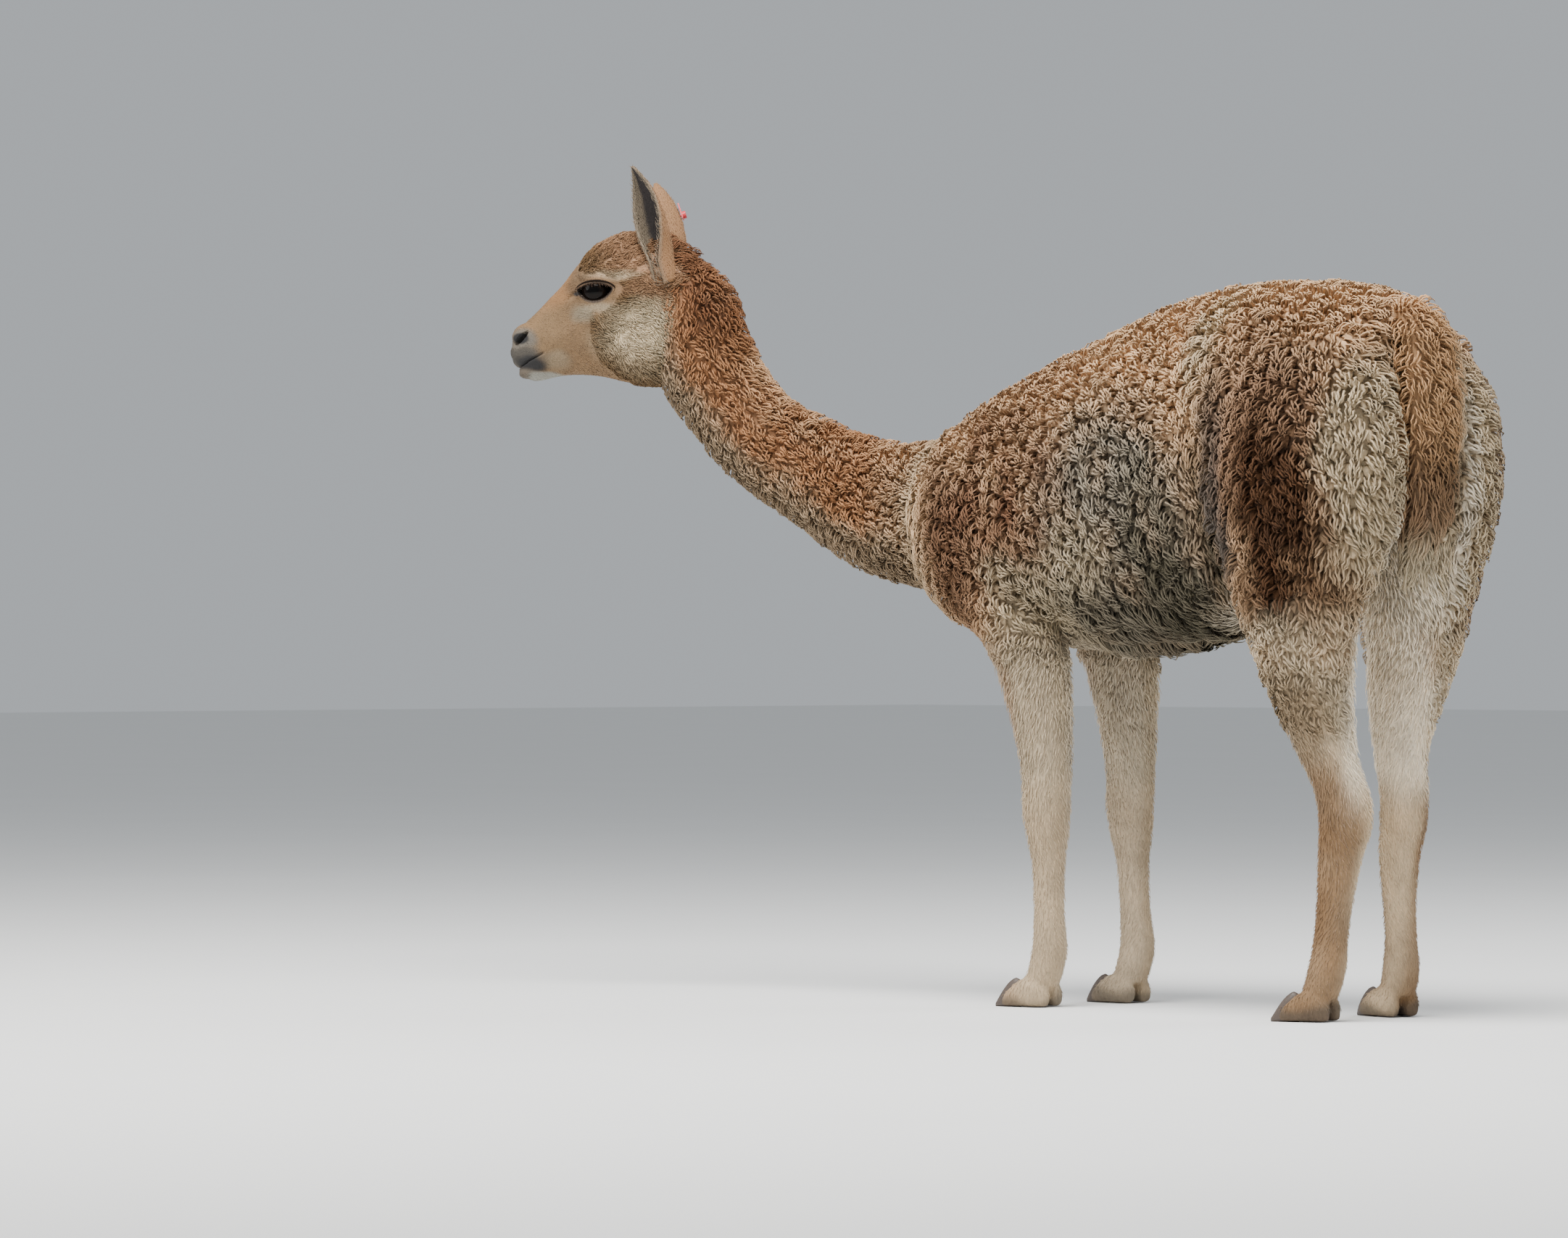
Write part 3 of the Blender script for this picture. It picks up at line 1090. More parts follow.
# Wool of the trunk and thighs
# Dense matted wool: a low felted layer with thin wavy locks standing out of it, both rooted in the hide.
# The tips of neighbouring locks draw together in small bundles, and the fleece parts between them.
wool = Finish("wool_locks", Roughness=0.95, Specular_IOR_Level=0.2)
reach = Level(wool, wool.attribute("reach").outputs["Fac"])
strands = wool.strands(16, 2.5)
crimp = wool.noise(300, 4)
light = 0.60 + reach * 0.12 + strands * 0.24 + crimp * 0.30
wool.colour(wool.times(wool.attribute("coat").outputs["Color"], light))
wool.bump(strands * 0.6 + crimp * 0.5, 0.8, 0.0022)
rng = np.random.default_rng(11)
Spots = namedtuple("Spots", "points normals")
TRIES_A_SPOT = 7


def unit(vectors):
    return vectors / np.maximum(np.linalg.norm(vectors, axis=1, keepdims=True), 1e-9)


def scatter(obj, spacing, keep):
    """Spots spread evenly over a skin where keep allows, each with the way out."""
    mesh = obj.data
    mesh.calc_loop_triangles()
    corners = np.empty(len(mesh.loop_triangles) * 3, np.int32)
    mesh.loop_triangles.foreach_get("vertices", corners)
    corners = corners.reshape(-1, 3)
    points, normals = points_of(mesh), normals_of(mesh)
    edges = points[corners]
    area = np.linalg.norm(np.cross(edges[:, 1] - edges[:, 0], edges[:, 2] - edges[:, 0]), axis=1)
    tries = int(area.sum() / 2 / spacing ** 2 * TRIES_A_SPOT)
    picked = np.minimum(np.searchsorted(np.cumsum(area), rng.random(tries) * area.sum()), len(area) - 1)
    cuts = np.sort(rng.random((tries, 2)), axis=1)
    shares = np.column_stack([cuts[:, 0], cuts[:, 1] - cuts[:, 0], 1 - cuts[:, 1]])[:, :, None]
    where = (edges[picked] * shares).sum(1)
    out = (normals[corners[picked]] * shares).sum(1)
    allowed = keep(where)
    where, out = where[allowed], out[allowed]
    taken, kept = {}, []
    for i, (point, cell) in enumerate(zip(where.tolist(), np.floor(where / spacing).astype(int).tolist())):
        x, y, z = point
        crowded = False
        for step_x in (-1, 0, 1):
            for step_y in (-1, 0, 1):
                for step_z in (-1, 0, 1):
                    beside = (cell[0] + step_x, cell[1] + step_y, cell[2] + step_z)
                    for a, b, c in taken.get(beside, ()):
                        if (a - x) ** 2 + (b - y) ** 2 + (c - z) ** 2 < spacing ** 2:
                            crowded = True
        if not crowded:
            taken.setdefault(tuple(cell), []).append(point)
            kept.append(i)
    return Spots(where[kept], unit(out[kept]))


def along_skin(vectors, normals):
    """Vectors laid along the skin."""
    return unit(vectors - normals * (vectors * normals).sum(1, keepdims=True))


def lies_on_body(points, normals):
    """Which way the coat lies: down the neck, back and down along the trunk, down the legs."""
    ahead, right, up = body_frame(points)
    low = np.clip((0.78 - up) / 0.28, 0, 1)
    lie = np.column_stack([np.ones(len(points)), right * 3 * (1 - low), -0.3 - 1.1 * low])
    rump = ahead < 0.26
    high = rump & (up > 0.85)
    lie[rump] = (0.35, 0, -1.0)
    lie[high] = np.column_stack([np.ones(high.sum()), right[high] * 5, np.full(high.sum(), -0.3)])
    lie[up < 0.48] = (0.12, 0, -1.0)
    centres = np.array([station.centre for station in NECK_STATIONS])
    nearest = np.maximum(np.argmin(((points[:, None] - centres[None]) ** 2).sum(2), axis=1), 1)
    down_neck = unit(centres[nearest - 1] - centres[nearest]) + np.array((0, 0, -0.25))
    lie = np.where((ahead > 0.80)[:, None], down_neck, lie)
    lie = along_skin(lie, normals)
    swirl = wobble(points, 0.10, 3.3)[:, None] * 0.45
    return along_skin(lie + np.cross(normals, lie) * swirl, normals)


def around(points, stations):
    """An unwrap of a form: how far round it and how far along it a point lies, from 0 to 1."""
    nearest, across, rise = nearest_row(points, stations)
    return np.column_stack([np.arctan2(across, rise) / (2 * math.pi) + 0.5, nearest / (len(stations) - 1)])


def trunk_chart(points):
    ahead, right, up = body_frame(points)
    return np.column_stack([np.arctan2(right, up - 0.68) / (2 * math.pi) + 0.5, (ahead + 0.06) / 0.96])


def legs_chart(points):
    """The four legs' unwraps side by side."""
    ahead, right, up = body_frame(points)
    fore, side = ahead > 0.30, right > 0
    middle = np.where(fore, 0.56, 0.075)
    turn = np.arctan2(abs(right) - 0.075, ahead - middle) / (2 * math.pi) + 0.5
    return np.column_stack([(turn + fore * 2 + side) / 4, up / 0.70])


Locks = namedtuple("Locks", "root middle tip radius curl turns phase normal colour shade")
FLEECE_DEPTH = 0.017


def tapered(t):
    return 1 - 0.72 * t ** 1.6


def padded_out(t):
    return (0.60 + 0.40 * math.sin(math.pi * min(t / 0.8, 1))) * (1 - 0.45 * t ** 3)


def grow(name, locks, chart, finish, rings=4, sides=3, flat=0.65, form=tapered):
    """Joins many locks in one mesh: each a tube of few sides, drawn to a point and closed at its root."""
    count = len(locks.root)
    shares = np.linspace(0, 1, rings + 1)[:-1]
    direct = unit(locks.tip - locks.root)
    across = unit(np.cross(direct, locks.normal))
    rise = np.cross(across, direct)

    def centre(t):
        bend = (1 - t) ** 2 * locks.root + 2 * t * (1 - t) * locks.middle + t ** 2 * locks.tip
        turn = (locks.phase + 2 * math.pi * locks.turns * t)[:, None]
        size = (locks.curl * (0.15 + 0.85 * t))[:, None]
        return bend + size * (across * np.cos(turn) + rise * np.sin(turn))

    points = np.empty((count, rings * sides + 1, 3))
    for i, t in enumerate(shares):
        ahead = unit(centre(min(t + 0.05, 1)) - centre(max(t - 0.05, 0)))
        wide = unit(np.cross(ahead, rise))
        thick = np.cross(wide, ahead)
        size = (locks.radius * form(t))[:, None]
        for j in range(sides):
            turn = 2 * math.pi * j / sides + math.pi / 2
            away = wide * math.cos(turn) + thick * math.sin(turn) * flat
            points[:, i * sides + j] = centre(t) + size * away
    points[:, -1] = centre(1.0)
    corners, starts, patch = [], [], []
    for i in range(rings - 1):
        for j in range(sides):
            starts.append(len(corners))
            low, high, after = i * sides, (i + 1) * sides, (j + 1) % sides
            corners += [low + j, low + after, high + after, high + j]
            patch += [(j, i), (j + 1, i), (j + 1, i + 1), (j, i + 1)]
    for j in range(sides):
        starts.append(len(corners))
        corners += [(rings - 1) * sides + j, (rings - 1) * sides + (j + 1) % sides, rings * sides]
        patch += [(j, rings - 1), (j + 1, rings - 1), (j + 0.5, rings)]
    starts.append(len(corners))
    corners += list(range(sides))[::-1]
    patch += [(j, 0) for j in range(sides)][::-1]
    size = rings * sides + 1
    order = np.arange(count)[:, None]
    mesh = bpy.data.meshes.new(name)
    mesh.vertices.add(count * size)
    mesh.vertices.foreach_set("co", points.astype(np.float32).ravel())
    mesh.loops.add(count * len(corners))
    vertices = np.array(corners)[None] + order * size
    mesh.loops.foreach_set("vertex_index", vertices.astype(np.int32).ravel())
    mesh.polygons.add(count * len(starts))
    loops = np.array(starts)[None] + order * len(corners)
    mesh.polygons.foreach_set("loop_start", loops.astype(np.int32).ravel())
    mesh.update(calc_edges=True)
    spread = (np.array(patch) / (sides, rings) - 0.5) * 0.003
    bake = np.clip(np.clip(chart(locks.root), 0.004, 0.996)[:, None] + spread[None], 0.001, 0.999)
    mesh.uv_layers.new(name="OFBake").data.foreach_set("uv", bake.astype(np.float32).ravel())
    strand = np.array(patch)[None] / (sides, rings) + rng.uniform(0, 40, (count, 1, 2))
    mesh.uv_layers.new(name="strand").data.foreach_set("uv", strand.astype(np.float32).ravel())
    far = np.append(np.repeat(shares, sides), 1.0)
    kept_reach = mesh.attributes.new("reach", "FLOAT", "POINT")
    kept_reach.data.foreach_set("value", np.tile(far, count).astype(np.float32))
    made = bpy.data.objects.new(name, mesh)
    bpy.context.scene.collection.objects.link(made)
    paint(made, np.repeat(np.clip(locks.colour * locks.shade[:, None], 0, 1), size, axis=0))
    mesh.shade_smooth()
    mesh.materials.append(finish.material)
    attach(made, "root")
    return made


def wavy_locks(
        obj, keep, lies_at, length_at, rise_at, colours_at, *, spacing, bundle, radius, wave, gather, swing):
    """Wavy locks close together, in bundles whose tips draw together and whose waves run in step."""
    spots, hubs = scatter(obj, spacing, keep), scatter(obj, bundle, keep)
    count, many = len(spots.points), len(hubs.points)
    finder = KDTree(many)
    for i, point in enumerate(hubs.points.tolist()):
        finder.insert(point, i)
    finder.balance()
    mine = np.array([finder.find(point)[1] for point in spots.points.tolist()])
    reach, rise = rng.uniform(0.80, 1.25, many), rng.uniform(0.85, 1.12, many)
    shade = rng.uniform(0.90, 1.10, many)
    thrown = rng.normal(0, 1, many) * swing
    hub_lies = lies_at(hubs.points, hubs.normals)
    hub_way = unit(hub_lies + np.cross(hubs.normals, hub_lies) * thrown[:, None])
    length, height = length_at(spots.points), rise_at(spots.points)
    far = length * reach[mine] * rng.uniform(0.85, 1.15, count)
    high = height * rise[mine]
    lies = lies_at(spots.points, spots.normals)
    way = unit(lies * 0.45 + hub_way[mine] + rng.normal(0, 0.10, (count, 3)))
    own = spots.points + way * far[:, None]
    own = own + spots.normals * (high * rng.uniform(0.66, 0.90, count))[:, None]
    shared = hubs.points[mine] + hub_way[mine] * (length * reach[mine])[:, None]
    shared = shared + hubs.normals[mine] * (high * 0.92)[:, None]
    tip = own * (1 - gather) + shared * gather
    middle = spots.points + way * (far * 0.26)[:, None] + spots.normals * (high * 1.42)[:, None]
    begins = (spots.points * lies).sum(1) / wave
    return Locks(
        spots.points - spots.normals * 0.003, middle, tip, radius * rng.uniform(0.80, 1.25, count),
        np.full(count, radius * 0.62), far * 1.15 / wave, 6.28 * begins + rng.normal(0, 0.5, count),
        spots.normals, colours_at(spots.points), shade[mine] * rng.uniform(0.93, 1.07, count))


def felt_under(obj, keep, lies_at, depth_at, colours_at, spacing):
    """Broad low tufts close together, the felted wool that fills the fleece under the locks."""
    spots = scatter(obj, spacing, keep)
    count = len(spots.points)
    lies, rise = lies_at(spots.points, spots.normals), depth_at(spots.points)[:, None]
    size = spacing * 0.66 * np.clip(rise[:, 0] / FLEECE_DEPTH, 0.35, 1)
    return Locks(
        spots.points - spots.normals * 0.004 - lies * spacing * 0.5,
        spots.points + spots.normals * rise * 0.52,
        spots.points + lies * spacing * 1.10 + spots.normals * rise * 0.16, size,
        np.full(count, 0.0008), rng.uniform(0.5, 1.0, count), rng.uniform(0, 6.28, count), spots.normals,
        colours_at(spots.points), rng.uniform(0.96, 1.08, count))


def some(locks, chosen):
    return Locks(*(values[chosen] for values in locks))


def on_fleece(points):
    """Where the fleece grows on the trunk and thighs."""
    ahead, _, up = body_frame(points)
    low = np.where(ahead < 0.30, 0.355, np.where((ahead > 0.48) & (ahead < 0.67), 0.445, 0.0))
    between = (ahead < 0.22) & (abs(points[:, 1] - SPINE_Y) < 0.068) & (up < 0.600)
    return (ahead < 0.815) & (up > low + wobble(points, 0.05) * 0.015) & ~between


def in_front_of_throat(points):
    """How far in front of the plane between neck and head a place lies."""
    places = head_places(points)
    return (places[:, 0] + 0.012) * 0.93 + (places[:, 2] - 0.920) * 0.36


def coat_depth(points):
    ahead = TAIL_ROOT_X - points[:, 0]
    depth = FLEECE_DEPTH - 0.006 * np.clip((ahead - 0.80) / 0.3, 0, 1)
    hind = (1 - 0.70 * (1 - step(points[:, 2], 0.36, 0.56))) * (ahead < 0.28)
    fore = (1 - 0.50 * (1 - step(points[:, 2], 0.45, 0.56))) * ((ahead > 0.48) & (ahead < 0.68))
    depth = depth * np.where(ahead < 0.28, hind, np.where(fore > 0, fore, 1.0))
    return depth * (1 - 0.65 * step(ahead, 1.03, 1.08) * step(in_front_of_throat(points), -0.040, 0.010))


def body_chart(points):
    """The trunk's unwrap in one half of the map and the legs' in the other."""
    ahead, _, up = body_frame(points)
    leg = ((ahead < 0.262) & (up < 0.640)) | (up < 0.44)
    half = np.where(leg[:, None], legs_chart(points), trunk_chart(points))
    return np.clip(half, 0, 1) * (0.5, 1) + np.where(leg, 0.5, 0)[:, None] * (1, 0)


def stringy(points):
    """Where the fleece is long and hangs in strings, on the chest and belly."""
    ahead, _, up = body_frame(points)
    belly = (1 - step(up, 0.49, 0.55)) * step(ahead, 0.22, 0.27) * (1 - step(ahead, 0.47, 0.52))
    return np.maximum(step(ahead, 0.72, 0.76), belly)


def fleece_length(points):
    ahead = TAIL_ROOT_X - points[:, 0]
    strings = stringy(points) * (1 - 0.9 * step(ahead, 0.755, 0.812))
    return (0.0175 + 0.018 * strings) * (0.50 + 0.50 * coat_depth(points) / FLEECE_DEPTH)


felt = felt_under(body_skin, on_fleece, lies_on_body, coat_depth, body_colours, spacing=0.0118)
fleece = wavy_locks(
    body_skin, on_fleece, lies_on_body, fleece_length, coat_depth, body_colours,
    spacing=0.0050, bundle=0.0160, radius=0.0025, wave=0.0105, gather=0.55, swing=0.38)
# Each side in a rear, a middle and a front piece, so that none gets too heavy
PARTS = (("rear", -1.0, 0.20), ("middle", 0.20, 0.50), ("front", 0.50, 2.0))
for side, name in ((-1, "left"), (1, "right")):
    for kind, made, rings, sides, form in (("mat", felt, 3, 5, padded_out), ("wool", fleece, 5, 3, tapered)):
        half = np.sign(made.root[:, 1] - SPINE_Y + 1e-9) == side
        ahead = TAIL_ROOT_X - made.root[:, 0]
        for part, low, high in PARTS:
            chosen = half & (ahead >= low) & (ahead < high)
            grow(f"{kind}_{part}_{name}", some(made, chosen), body_chart, wool, rings, sides, 0.50, form)

# Wool of the neck
# Finer, closer locks than the trunk's, rust along the nape and grey cream beneath, up to the ears and jaw.
# They are rooted in the neck's hide and stop where the short hair of the head begins.
def on_neck(points):
    ahead = TAIL_ROOT_X - points[:, 0]
    outside = []
    for i, point in enumerate(points.tolist()):
        hit, out = whole_head.find_nearest(point, 0.05)[:2] if ahead[i] > 1.06 else (None, None)
        outside.append(hit is None or (Vector(point) - hit).dot(out) > -0.003)
    return (ahead > 0.800) & (in_front_of_throat(points) < 0.022) & np.array(outside, bool)


def neck_chart(points):
    return around(points, NECK_STATIONS)


felt = felt_under(body_skin, on_neck, lies_on_body, coat_depth, body_colours, spacing=0.0100)
grow("mat_neck", felt, neck_chart, wool, 3, 5, 0.50, padded_out)
nape = wavy_locks(
    body_skin, on_neck, lies_on_body, lambda points: 0.006 + coat_depth(points) * 0.75, coat_depth,
    body_colours, spacing=0.0044, bundle=0.0120, radius=0.0021, wave=0.0085, gather=0.55, swing=0.42)
grow("wool_neck", nape, neck_chart, wool, 5, 3, 0.62)

# Wool of the tail
# Longer, straighter locks that hang down the tail and end in a thin tip.
# They are rooted all round its core and lie along it.
def lies_on_tail(points, normals):
    return along_skin(np.tile((0.0, 0.0, -1.0), (len(points), 1)) + normals * 0.02, normals)


def on_tail(points):
    return points[:, 2] < 0.885


hang = wavy_locks(
    tail_skin, on_tail, lies_on_tail, lambda points: np.interp(points[:, 2], [0.60, 0.68], [0.034, 0.019]),
    lambda points: np.interp(points[:, 2], [0.57, 0.64], [0.006, 0.013]), body_colours,
    spacing=0.0044, bundle=0.0130, radius=0.0020, wave=0.0115, gather=0.42, swing=0.40)
grow("wool_tail", hang, lambda points: around(points, tail_stations()), wool, 5, 3, 0.62)

# Short hair of the legs
# Close hair that lies down the leg, longer above the hock and elbow and very short on the pastern.
# Its tufts break the outline; between them the hide's own grain shows.
short_hair = Finish("short_hair", Roughness=0.85, Sheen_Weight=0.08)
reach = Level(short_hair, short_hair.attribute("reach").outputs["Fac"])
strands = short_hair.noise(1200, 2, (1, 1, 0.5))
light = 0.92 + reach * 0.20 + strands * 0.22
short_hair.colour(short_hair.times(short_hair.attribute("coat").outputs["Color"], light))


def flat_tufts(spots, lies, length, radius, lift, curl, colours_at):
    """Single short tufts that lie along the skin with their tips a little raised."""
    count = len(spots.points)
    side = np.cross(spots.normals, lies)
    lies = unit(lies + side * rng.normal(0, 0.16, (count, 1)))
    length = length * rng.uniform(0.75, 1.25, count)
    lift = lift * rng.uniform(0.5, 1.5, count)
    tip = spots.points + lies * length[:, None] + spots.normals * (length * lift)[:, None]
    middle = spots.points + lies * (length * 0.45)[:, None] + spots.normals * (length * lift * 1.1)[:, None]
    return Locks(
        spots.points - spots.normals * radius[:, None] * 0.6, middle, tip,
        radius * rng.uniform(0.8, 1.2, count),
        np.broadcast_to(curl, count) * rng.uniform(0.5, 1.5, count), rng.uniform(0.5, 1.1, count),
        rng.uniform(0, 6.28, count), spots.normals, colours_at(spots.points), rng.uniform(0.84, 1.14, count))


def on_legs(points):
    ahead, _, up = body_frame(points)
    fore = (ahead > 0.46) & (ahead < 0.70) & (up < 0.475)
    return (fore | ((ahead < 0.30) & (up < 0.610) & ~on_fleece(points))) & (up > 0.016)


spots = scatter(body_skin, 0.0036, on_legs)
up = spots.points[:, 2]
heights = [0.02, 0.10, 0.30, 0.46]
leg_hair = flat_tufts(
    spots, lies_on_body(spots.points, spots.normals), np.interp(up, heights, [0.006, 0.0075, 0.011, 0.017]),
    np.interp(up, heights, [0.0007, 0.0008, 0.0011, 0.0015]), np.interp(up, [0.1, 0.46], [0.16, 0.30]),
    np.interp(up, [0.15, 0.46], [0.0003, 0.0012]), body_colours)
front_half = TAIL_ROOT_X - leg_hair.root[:, 0] > 0.38
grow("hair_forelegs", some(leg_hair, front_half), legs_chart, short_hair, rings=2)
grow("hair_hind_legs", some(leg_hair, ~front_half), legs_chart, short_hair, rings=2)

# Short hair of the head
# Dense short hair that runs back from the nose, finest on the muzzle and round the eyes, and longer and
# curled on the cheeks and crown. It leaves the lips, the nostrils and the rims of the lids bare.
def lies_on_head(points, normals):
    """Back from the nose, round the eyes, and down over the cheeks."""
    places = head_places(points)
    forward = np.array(HEAD_FORWARD)
    cheek = step(places[:, 2], 0.95, 0.88)[:, None]
    lie = np.tile(-forward, (len(points), 1)) + np.array((0, 0, -0.75)) * cheek
    lie = lie + np.array((0, 0, 0.35)) * step(places[:, 2], 0.955, 0.985)[:, None]
    lie = along_skin(lie, normals)
    return along_skin(lie + np.cross(normals, lie) * wobble(points, 0.035, 2.2)[:, None] * 0.35, normals)


def on_head_skin(points):
    places = head_places(points)
    eye = np.minimum(almond(places, 1, 0.0030), almond(places, -1, 0.0030)) < 1.05
    lips = (places[:, 0] > 0.176) & (places[:, 2] < 0.858) & (places[:, 2] > 0.829)
    mirrored = np.column_stack([places[:, 0], abs(places[:, 1]), places[:, 2]])
    nostril = near(mirrored, (0.206, 0.021, 0.8775), (0.016, 0.014, 0.009)) > 0.5
    cup = near(mirrored, (0.008, 0.044, 0.976), (0.020, 0.016, 0.018)) > 0.5
    return (in_front_of_throat(points) > -0.012) & ~eye & ~lips & ~nostril & ~cup


def woolly(points):
    """Where the head's hair is long and curly: on the cheeks, behind the eyes and over the crown."""
    places = head_places(points)
    cheek = near(places, (0.009, 0.0, 0.886), (0.096, 0.2, 0.079), 0.25)
    ragged = places[:, 2] + wobble(points, 0.018, 6.0) * 0.010
    front = places[:, 0] + wobble(points, 0.02, 8.0) * 0.012
    crown = step(ragged, 0.950, 0.976) * (1 - step(front, 0.10, 0.14))
    eye = step(np.minimum(almond(places, 1, 0.012), almond(places, -1, 0.012)), 0.9, 1.3)
    return np.maximum(cheek, crown) * eye


spots = scatter(head_skin, 0.0022, lambda points: on_head_skin(points) & (woolly(points) < 0.5))
places = head_places(spots.points)
muzzle = step(places[:, 0], 0.06, 0.17)
eye_near = np.minimum(almond(places, 1, 0.012), almond(places, -1, 0.012)) < 1
long_hair = np.where(eye_near, 0.0042, 0.0074 - 0.0034 * muzzle)
head_hair = flat_tufts(
    spots, lies_on_head(spots.points, spots.normals), long_hair, 0.00078 - 0.00030 * muzzle,
    np.full(len(spots.points), 0.05), 0.0003, head_colours)


def head_chart(points):
    places = head_places(points)
    turn = np.arctan2(places[:, 1], places[:, 2] - 0.91) / (2 * math.pi) + 0.5
    return np.column_stack([turn, (places[:, 0] + 0.06) / 0.30])


grow("hair_face", head_hair, head_chart, short_hair, rings=3, flat=0.35)
cheek_hair = wavy_locks(
    head_skin, lambda points: on_head_skin(points) & (woolly(points) >= 0.5), lies_on_head,
    lambda points: 0.0065 + 0.0055 * woolly(points), lambda points: 0.0015 + 0.0030 * woolly(points),
    head_colours, spacing=0.0026, bundle=0.0080, radius=0.00130, wave=0.0062, gather=0.40, swing=0.35)
grow("hair_cheeks_and_crown", cheek_hair, head_chart, wool, 5, 3, 0.60)

# Topknot, ear fringes and lashes
# Longer hair between and behind the ears, fringes along the ears' rims and at their roots, and dark lashes.
# Each is rooted in the skin that it grows from.
def on_topknot(points):
    places = head_places(points)
    forward, left, up = places.T
    return (forward > -0.040) & (forward < 0.018) & (abs(left) < 0.040) & (up > 0.955)


def lies_on_topknot(points, normals):
    return along_skin(np.tile(-np.array(HEAD_FORWARD) + np.array((0, 0, 0.25)), (len(points), 1)), normals)


topknot = wavy_locks(
    head_skin, on_topknot, lies_on_topknot, lambda points: np.full(len(points), 0.020),
    lambda points: np.full(len(points), 0.010),
    lambda points: over(head_colours(points), NAPE_RUST * 1.25, np.full(len(points), 0.7)),
    spacing=0.0036, bundle=0.0100, radius=0.0015, wave=0.0085, gather=0.5, swing=0.7)
grow("wool_topknot", topknot, head_chart, wool, 5, 3, 0.6)
for name, (ear, across, share, outside) in ears.items():
    root, tip, facing = EARS[name]
    up_ear = np.array((tip - root).normalized())
    points = points_of(ear.data)

    def ear_chart(places):
        away = places - np.array(root)
        sideways = np.cross(up_ear, np.array(facing.normalized()))
        return np.column_stack([0.5 + away @ sideways / 0.08, 0.15 + away @ up_ear / 0.17])

    spots = scatter(ear, 0.0026, lambda places: np.ones(len(places), bool))
    tree = BVHTree.FromObject(ear, bpy.context.evaluated_depsgraph_get())
    colour = np.empty(len(points) * 4, np.float32)
    ear.data.attributes["coat"].data.foreach_get("color", colour)
    colour = colour.reshape(-1, 4)[:, :3]
    nearest = [ear.data.polygons[tree.find_nearest(point)[2]].vertices[0] for point in spots.points.tolist()]
    at_rim, along, back = abs(across[nearest]), share[nearest], outside[nearest]
    inward = np.array(facing.normalized())
    lean = inward * (at_rim > 0.8)[:, None] * 0.4
    lies = along_skin(np.tile(up_ear, (len(nearest), 1)) + lean, spots.normals)
    fringe = step(at_rim, 0.72, 0.92)
    long_hair = np.where(back, 0.0050, 0.0065 + 0.0035 * fringe) * (1 - 0.4 * step(along, 0.7, 1.0))
    long_hair += 0.005 * (1 - step(along, -0.10, 0.10)) * ~back
    shown = back | (abs(across[nearest] + 0.15) > 0.34) | (along < 0.02)
    hair = flat_tufts(
        spots, lies, long_hair, np.full(len(nearest), 0.00050), 0.14 + 0.16 * fringe, 0.0006,
        lambda places: colour[nearest])
    grow("hair_ear_" + name, some(hair, shown), ear_chart, short_hair, rings=2)

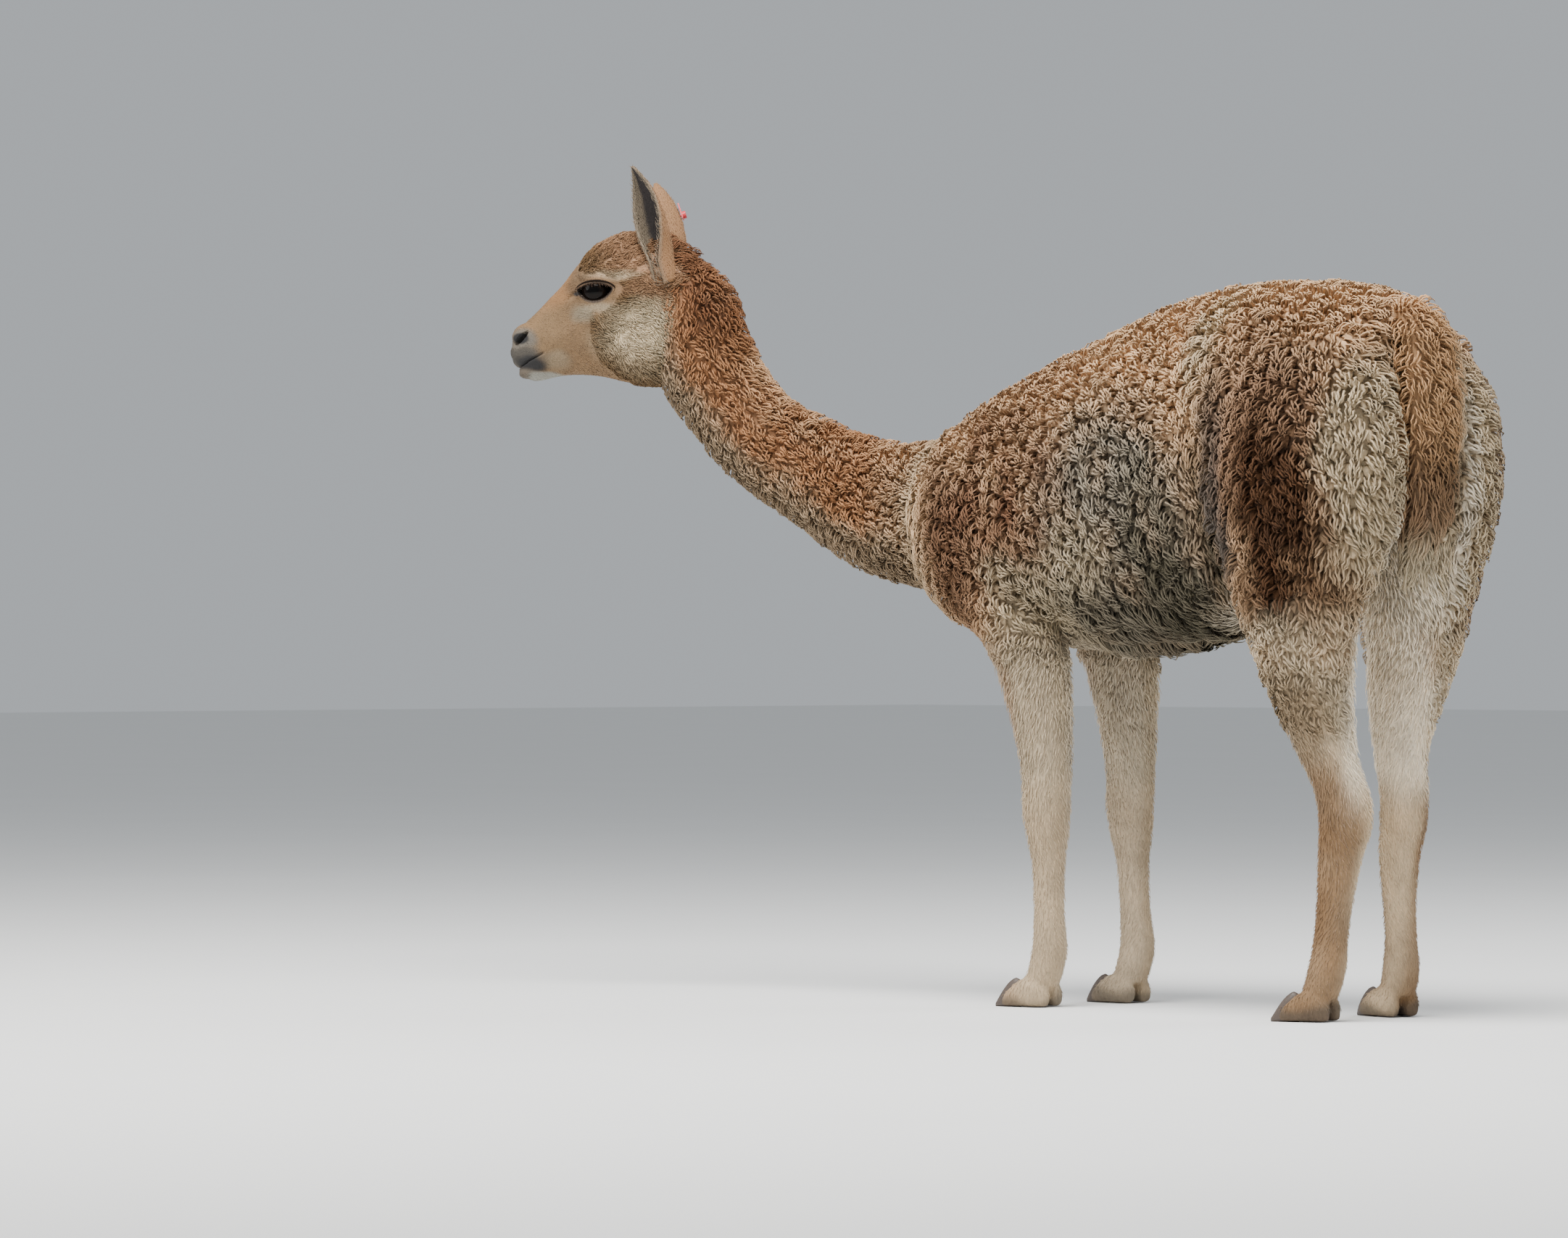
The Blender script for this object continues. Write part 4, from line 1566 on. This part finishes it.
LASH_RADIUS = 0.00032
lash = Finish("lash_hair", Roughness=0.5)
lash.colour(lash.mixed(lash.noise(900), (*srgb(38, 26, 18), 1), (*srgb(92, 64, 42), 1)))
for side, name in ((1, "left"), (-1, "right")):
    upper = [row for row in lid_path(side, 0.0010, 110) if 0.10 < row[2] < math.pi - 0.05]
    lower = [row for row in lid_path(side, 0.0010, 40) if math.pi + 0.5 < row[2] < 2 * math.pi - 0.5]
    rows = upper + lower
    roots = np.array([row[0] for row in rows])
    turns = np.array([row[2] for row in rows])
    outward = np.array(HEAD_LEFT * side)
    length = np.where(turns < math.pi, 0.0135, 0.005) * rng.uniform(0.75, 1.2, len(rows))
    forward = np.array(HEAD_FORWARD)
    droop = np.where(turns < math.pi, -0.30, -0.4)[:, None]
    spread = np.cos(turns)[:, None] * forward * 0.5 + np.array((0, 0, 1)) * droop
    away = unit(outward * 0.85 + spread + rng.normal(0, 0.12, (len(rows), 3)))
    tips = roots + away * length[:, None]
    middle = roots + (outward * 0.9 + np.array((0, 0, 0.25)))[None] * (length * 0.5)[:, None]
    lashes = Locks(
        roots, middle, tips, np.full(len(rows), LASH_RADIUS), np.zeros(len(rows)), np.ones(len(rows)),
        np.zeros(len(rows)), np.tile((0.0, 0.0, 1.0), (len(rows), 1)), np.ones((len(rows), 3)) * 0.05,
        np.ones(len(rows)))
    grow("lashes_" + name, lashes, head_chart, lash, rings=3)

# Floor, light and camera
# A plain pale studio floor, wide soft lamps above it, and the photograph's view.
studio = Finish("pale_floor", Roughness=0.9)
studio.colour(studio.mixed(studio.noise(2, 2), (0.82, 0.82, 0.81, 1), (0.85, 0.85, 0.84, 1)))
bm = bmesh.new()
bmesh.ops.create_grid(bm, x_segments=2, y_segments=2, size=30)
floor = add_object("studio_floor", bm)
for tile in floor.data.polygons:
    if tile.normal.z < 0:
        tile.flip()
floor.data.materials.append(studio.material)

world = bpy.data.worlds.new("studio")
world.use_nodes = True
world.node_tree.nodes["Background"].inputs["Color"].default_value = (0.90, 0.95, 1.0, 1)
world.node_tree.nodes["Background"].inputs["Strength"].default_value = 0.50
bpy.context.scene.world = world


def lamp(name, at, towards, size, power, colour):
    light = bpy.data.lights.new(name, "AREA")
    light.shape = "DISK"
    light.size = size
    light.energy = power
    light.color = colour
    made = bpy.data.objects.new(name, light)
    made.location = at
    made.rotation_euler = (Vector(towards) - Vector(at)).to_track_quat("-Z", "Y").to_euler()
    bpy.context.scene.collection.objects.link(made)


lamp("softbox_above", (0.8, -1.6, 4.2), (0, 0, 0.6), 3.0, 430, (1.0, 0.985, 0.96))
lamp("softbox_left", (-2.6, -3.4, 2.2), (0, 0, 0.7), 2.2, 60, (1.0, 0.98, 0.96))
lamp("softbox_behind", (1.5, 3.2, 2.8), (0, 0, 0.7), 2.4, 60, (0.95, 0.98, 1.0))

camera = bpy.data.cameras.new("photo_view")
camera.sensor_fit = "HORIZONTAL"
camera.sensor_width = 36
camera.lens = 153.79
camera.clip_end = 200
viewer = bpy.data.objects.new("photo_view", camera)
viewer.location = (6.0387, -6.2144, 0.4646)
viewer.rotation_euler = (math.radians(90.2108), 0, math.atan2(0.7193, 0.6947))
bpy.context.scene.collection.objects.link(viewer)
bpy.context.scene.camera = viewer
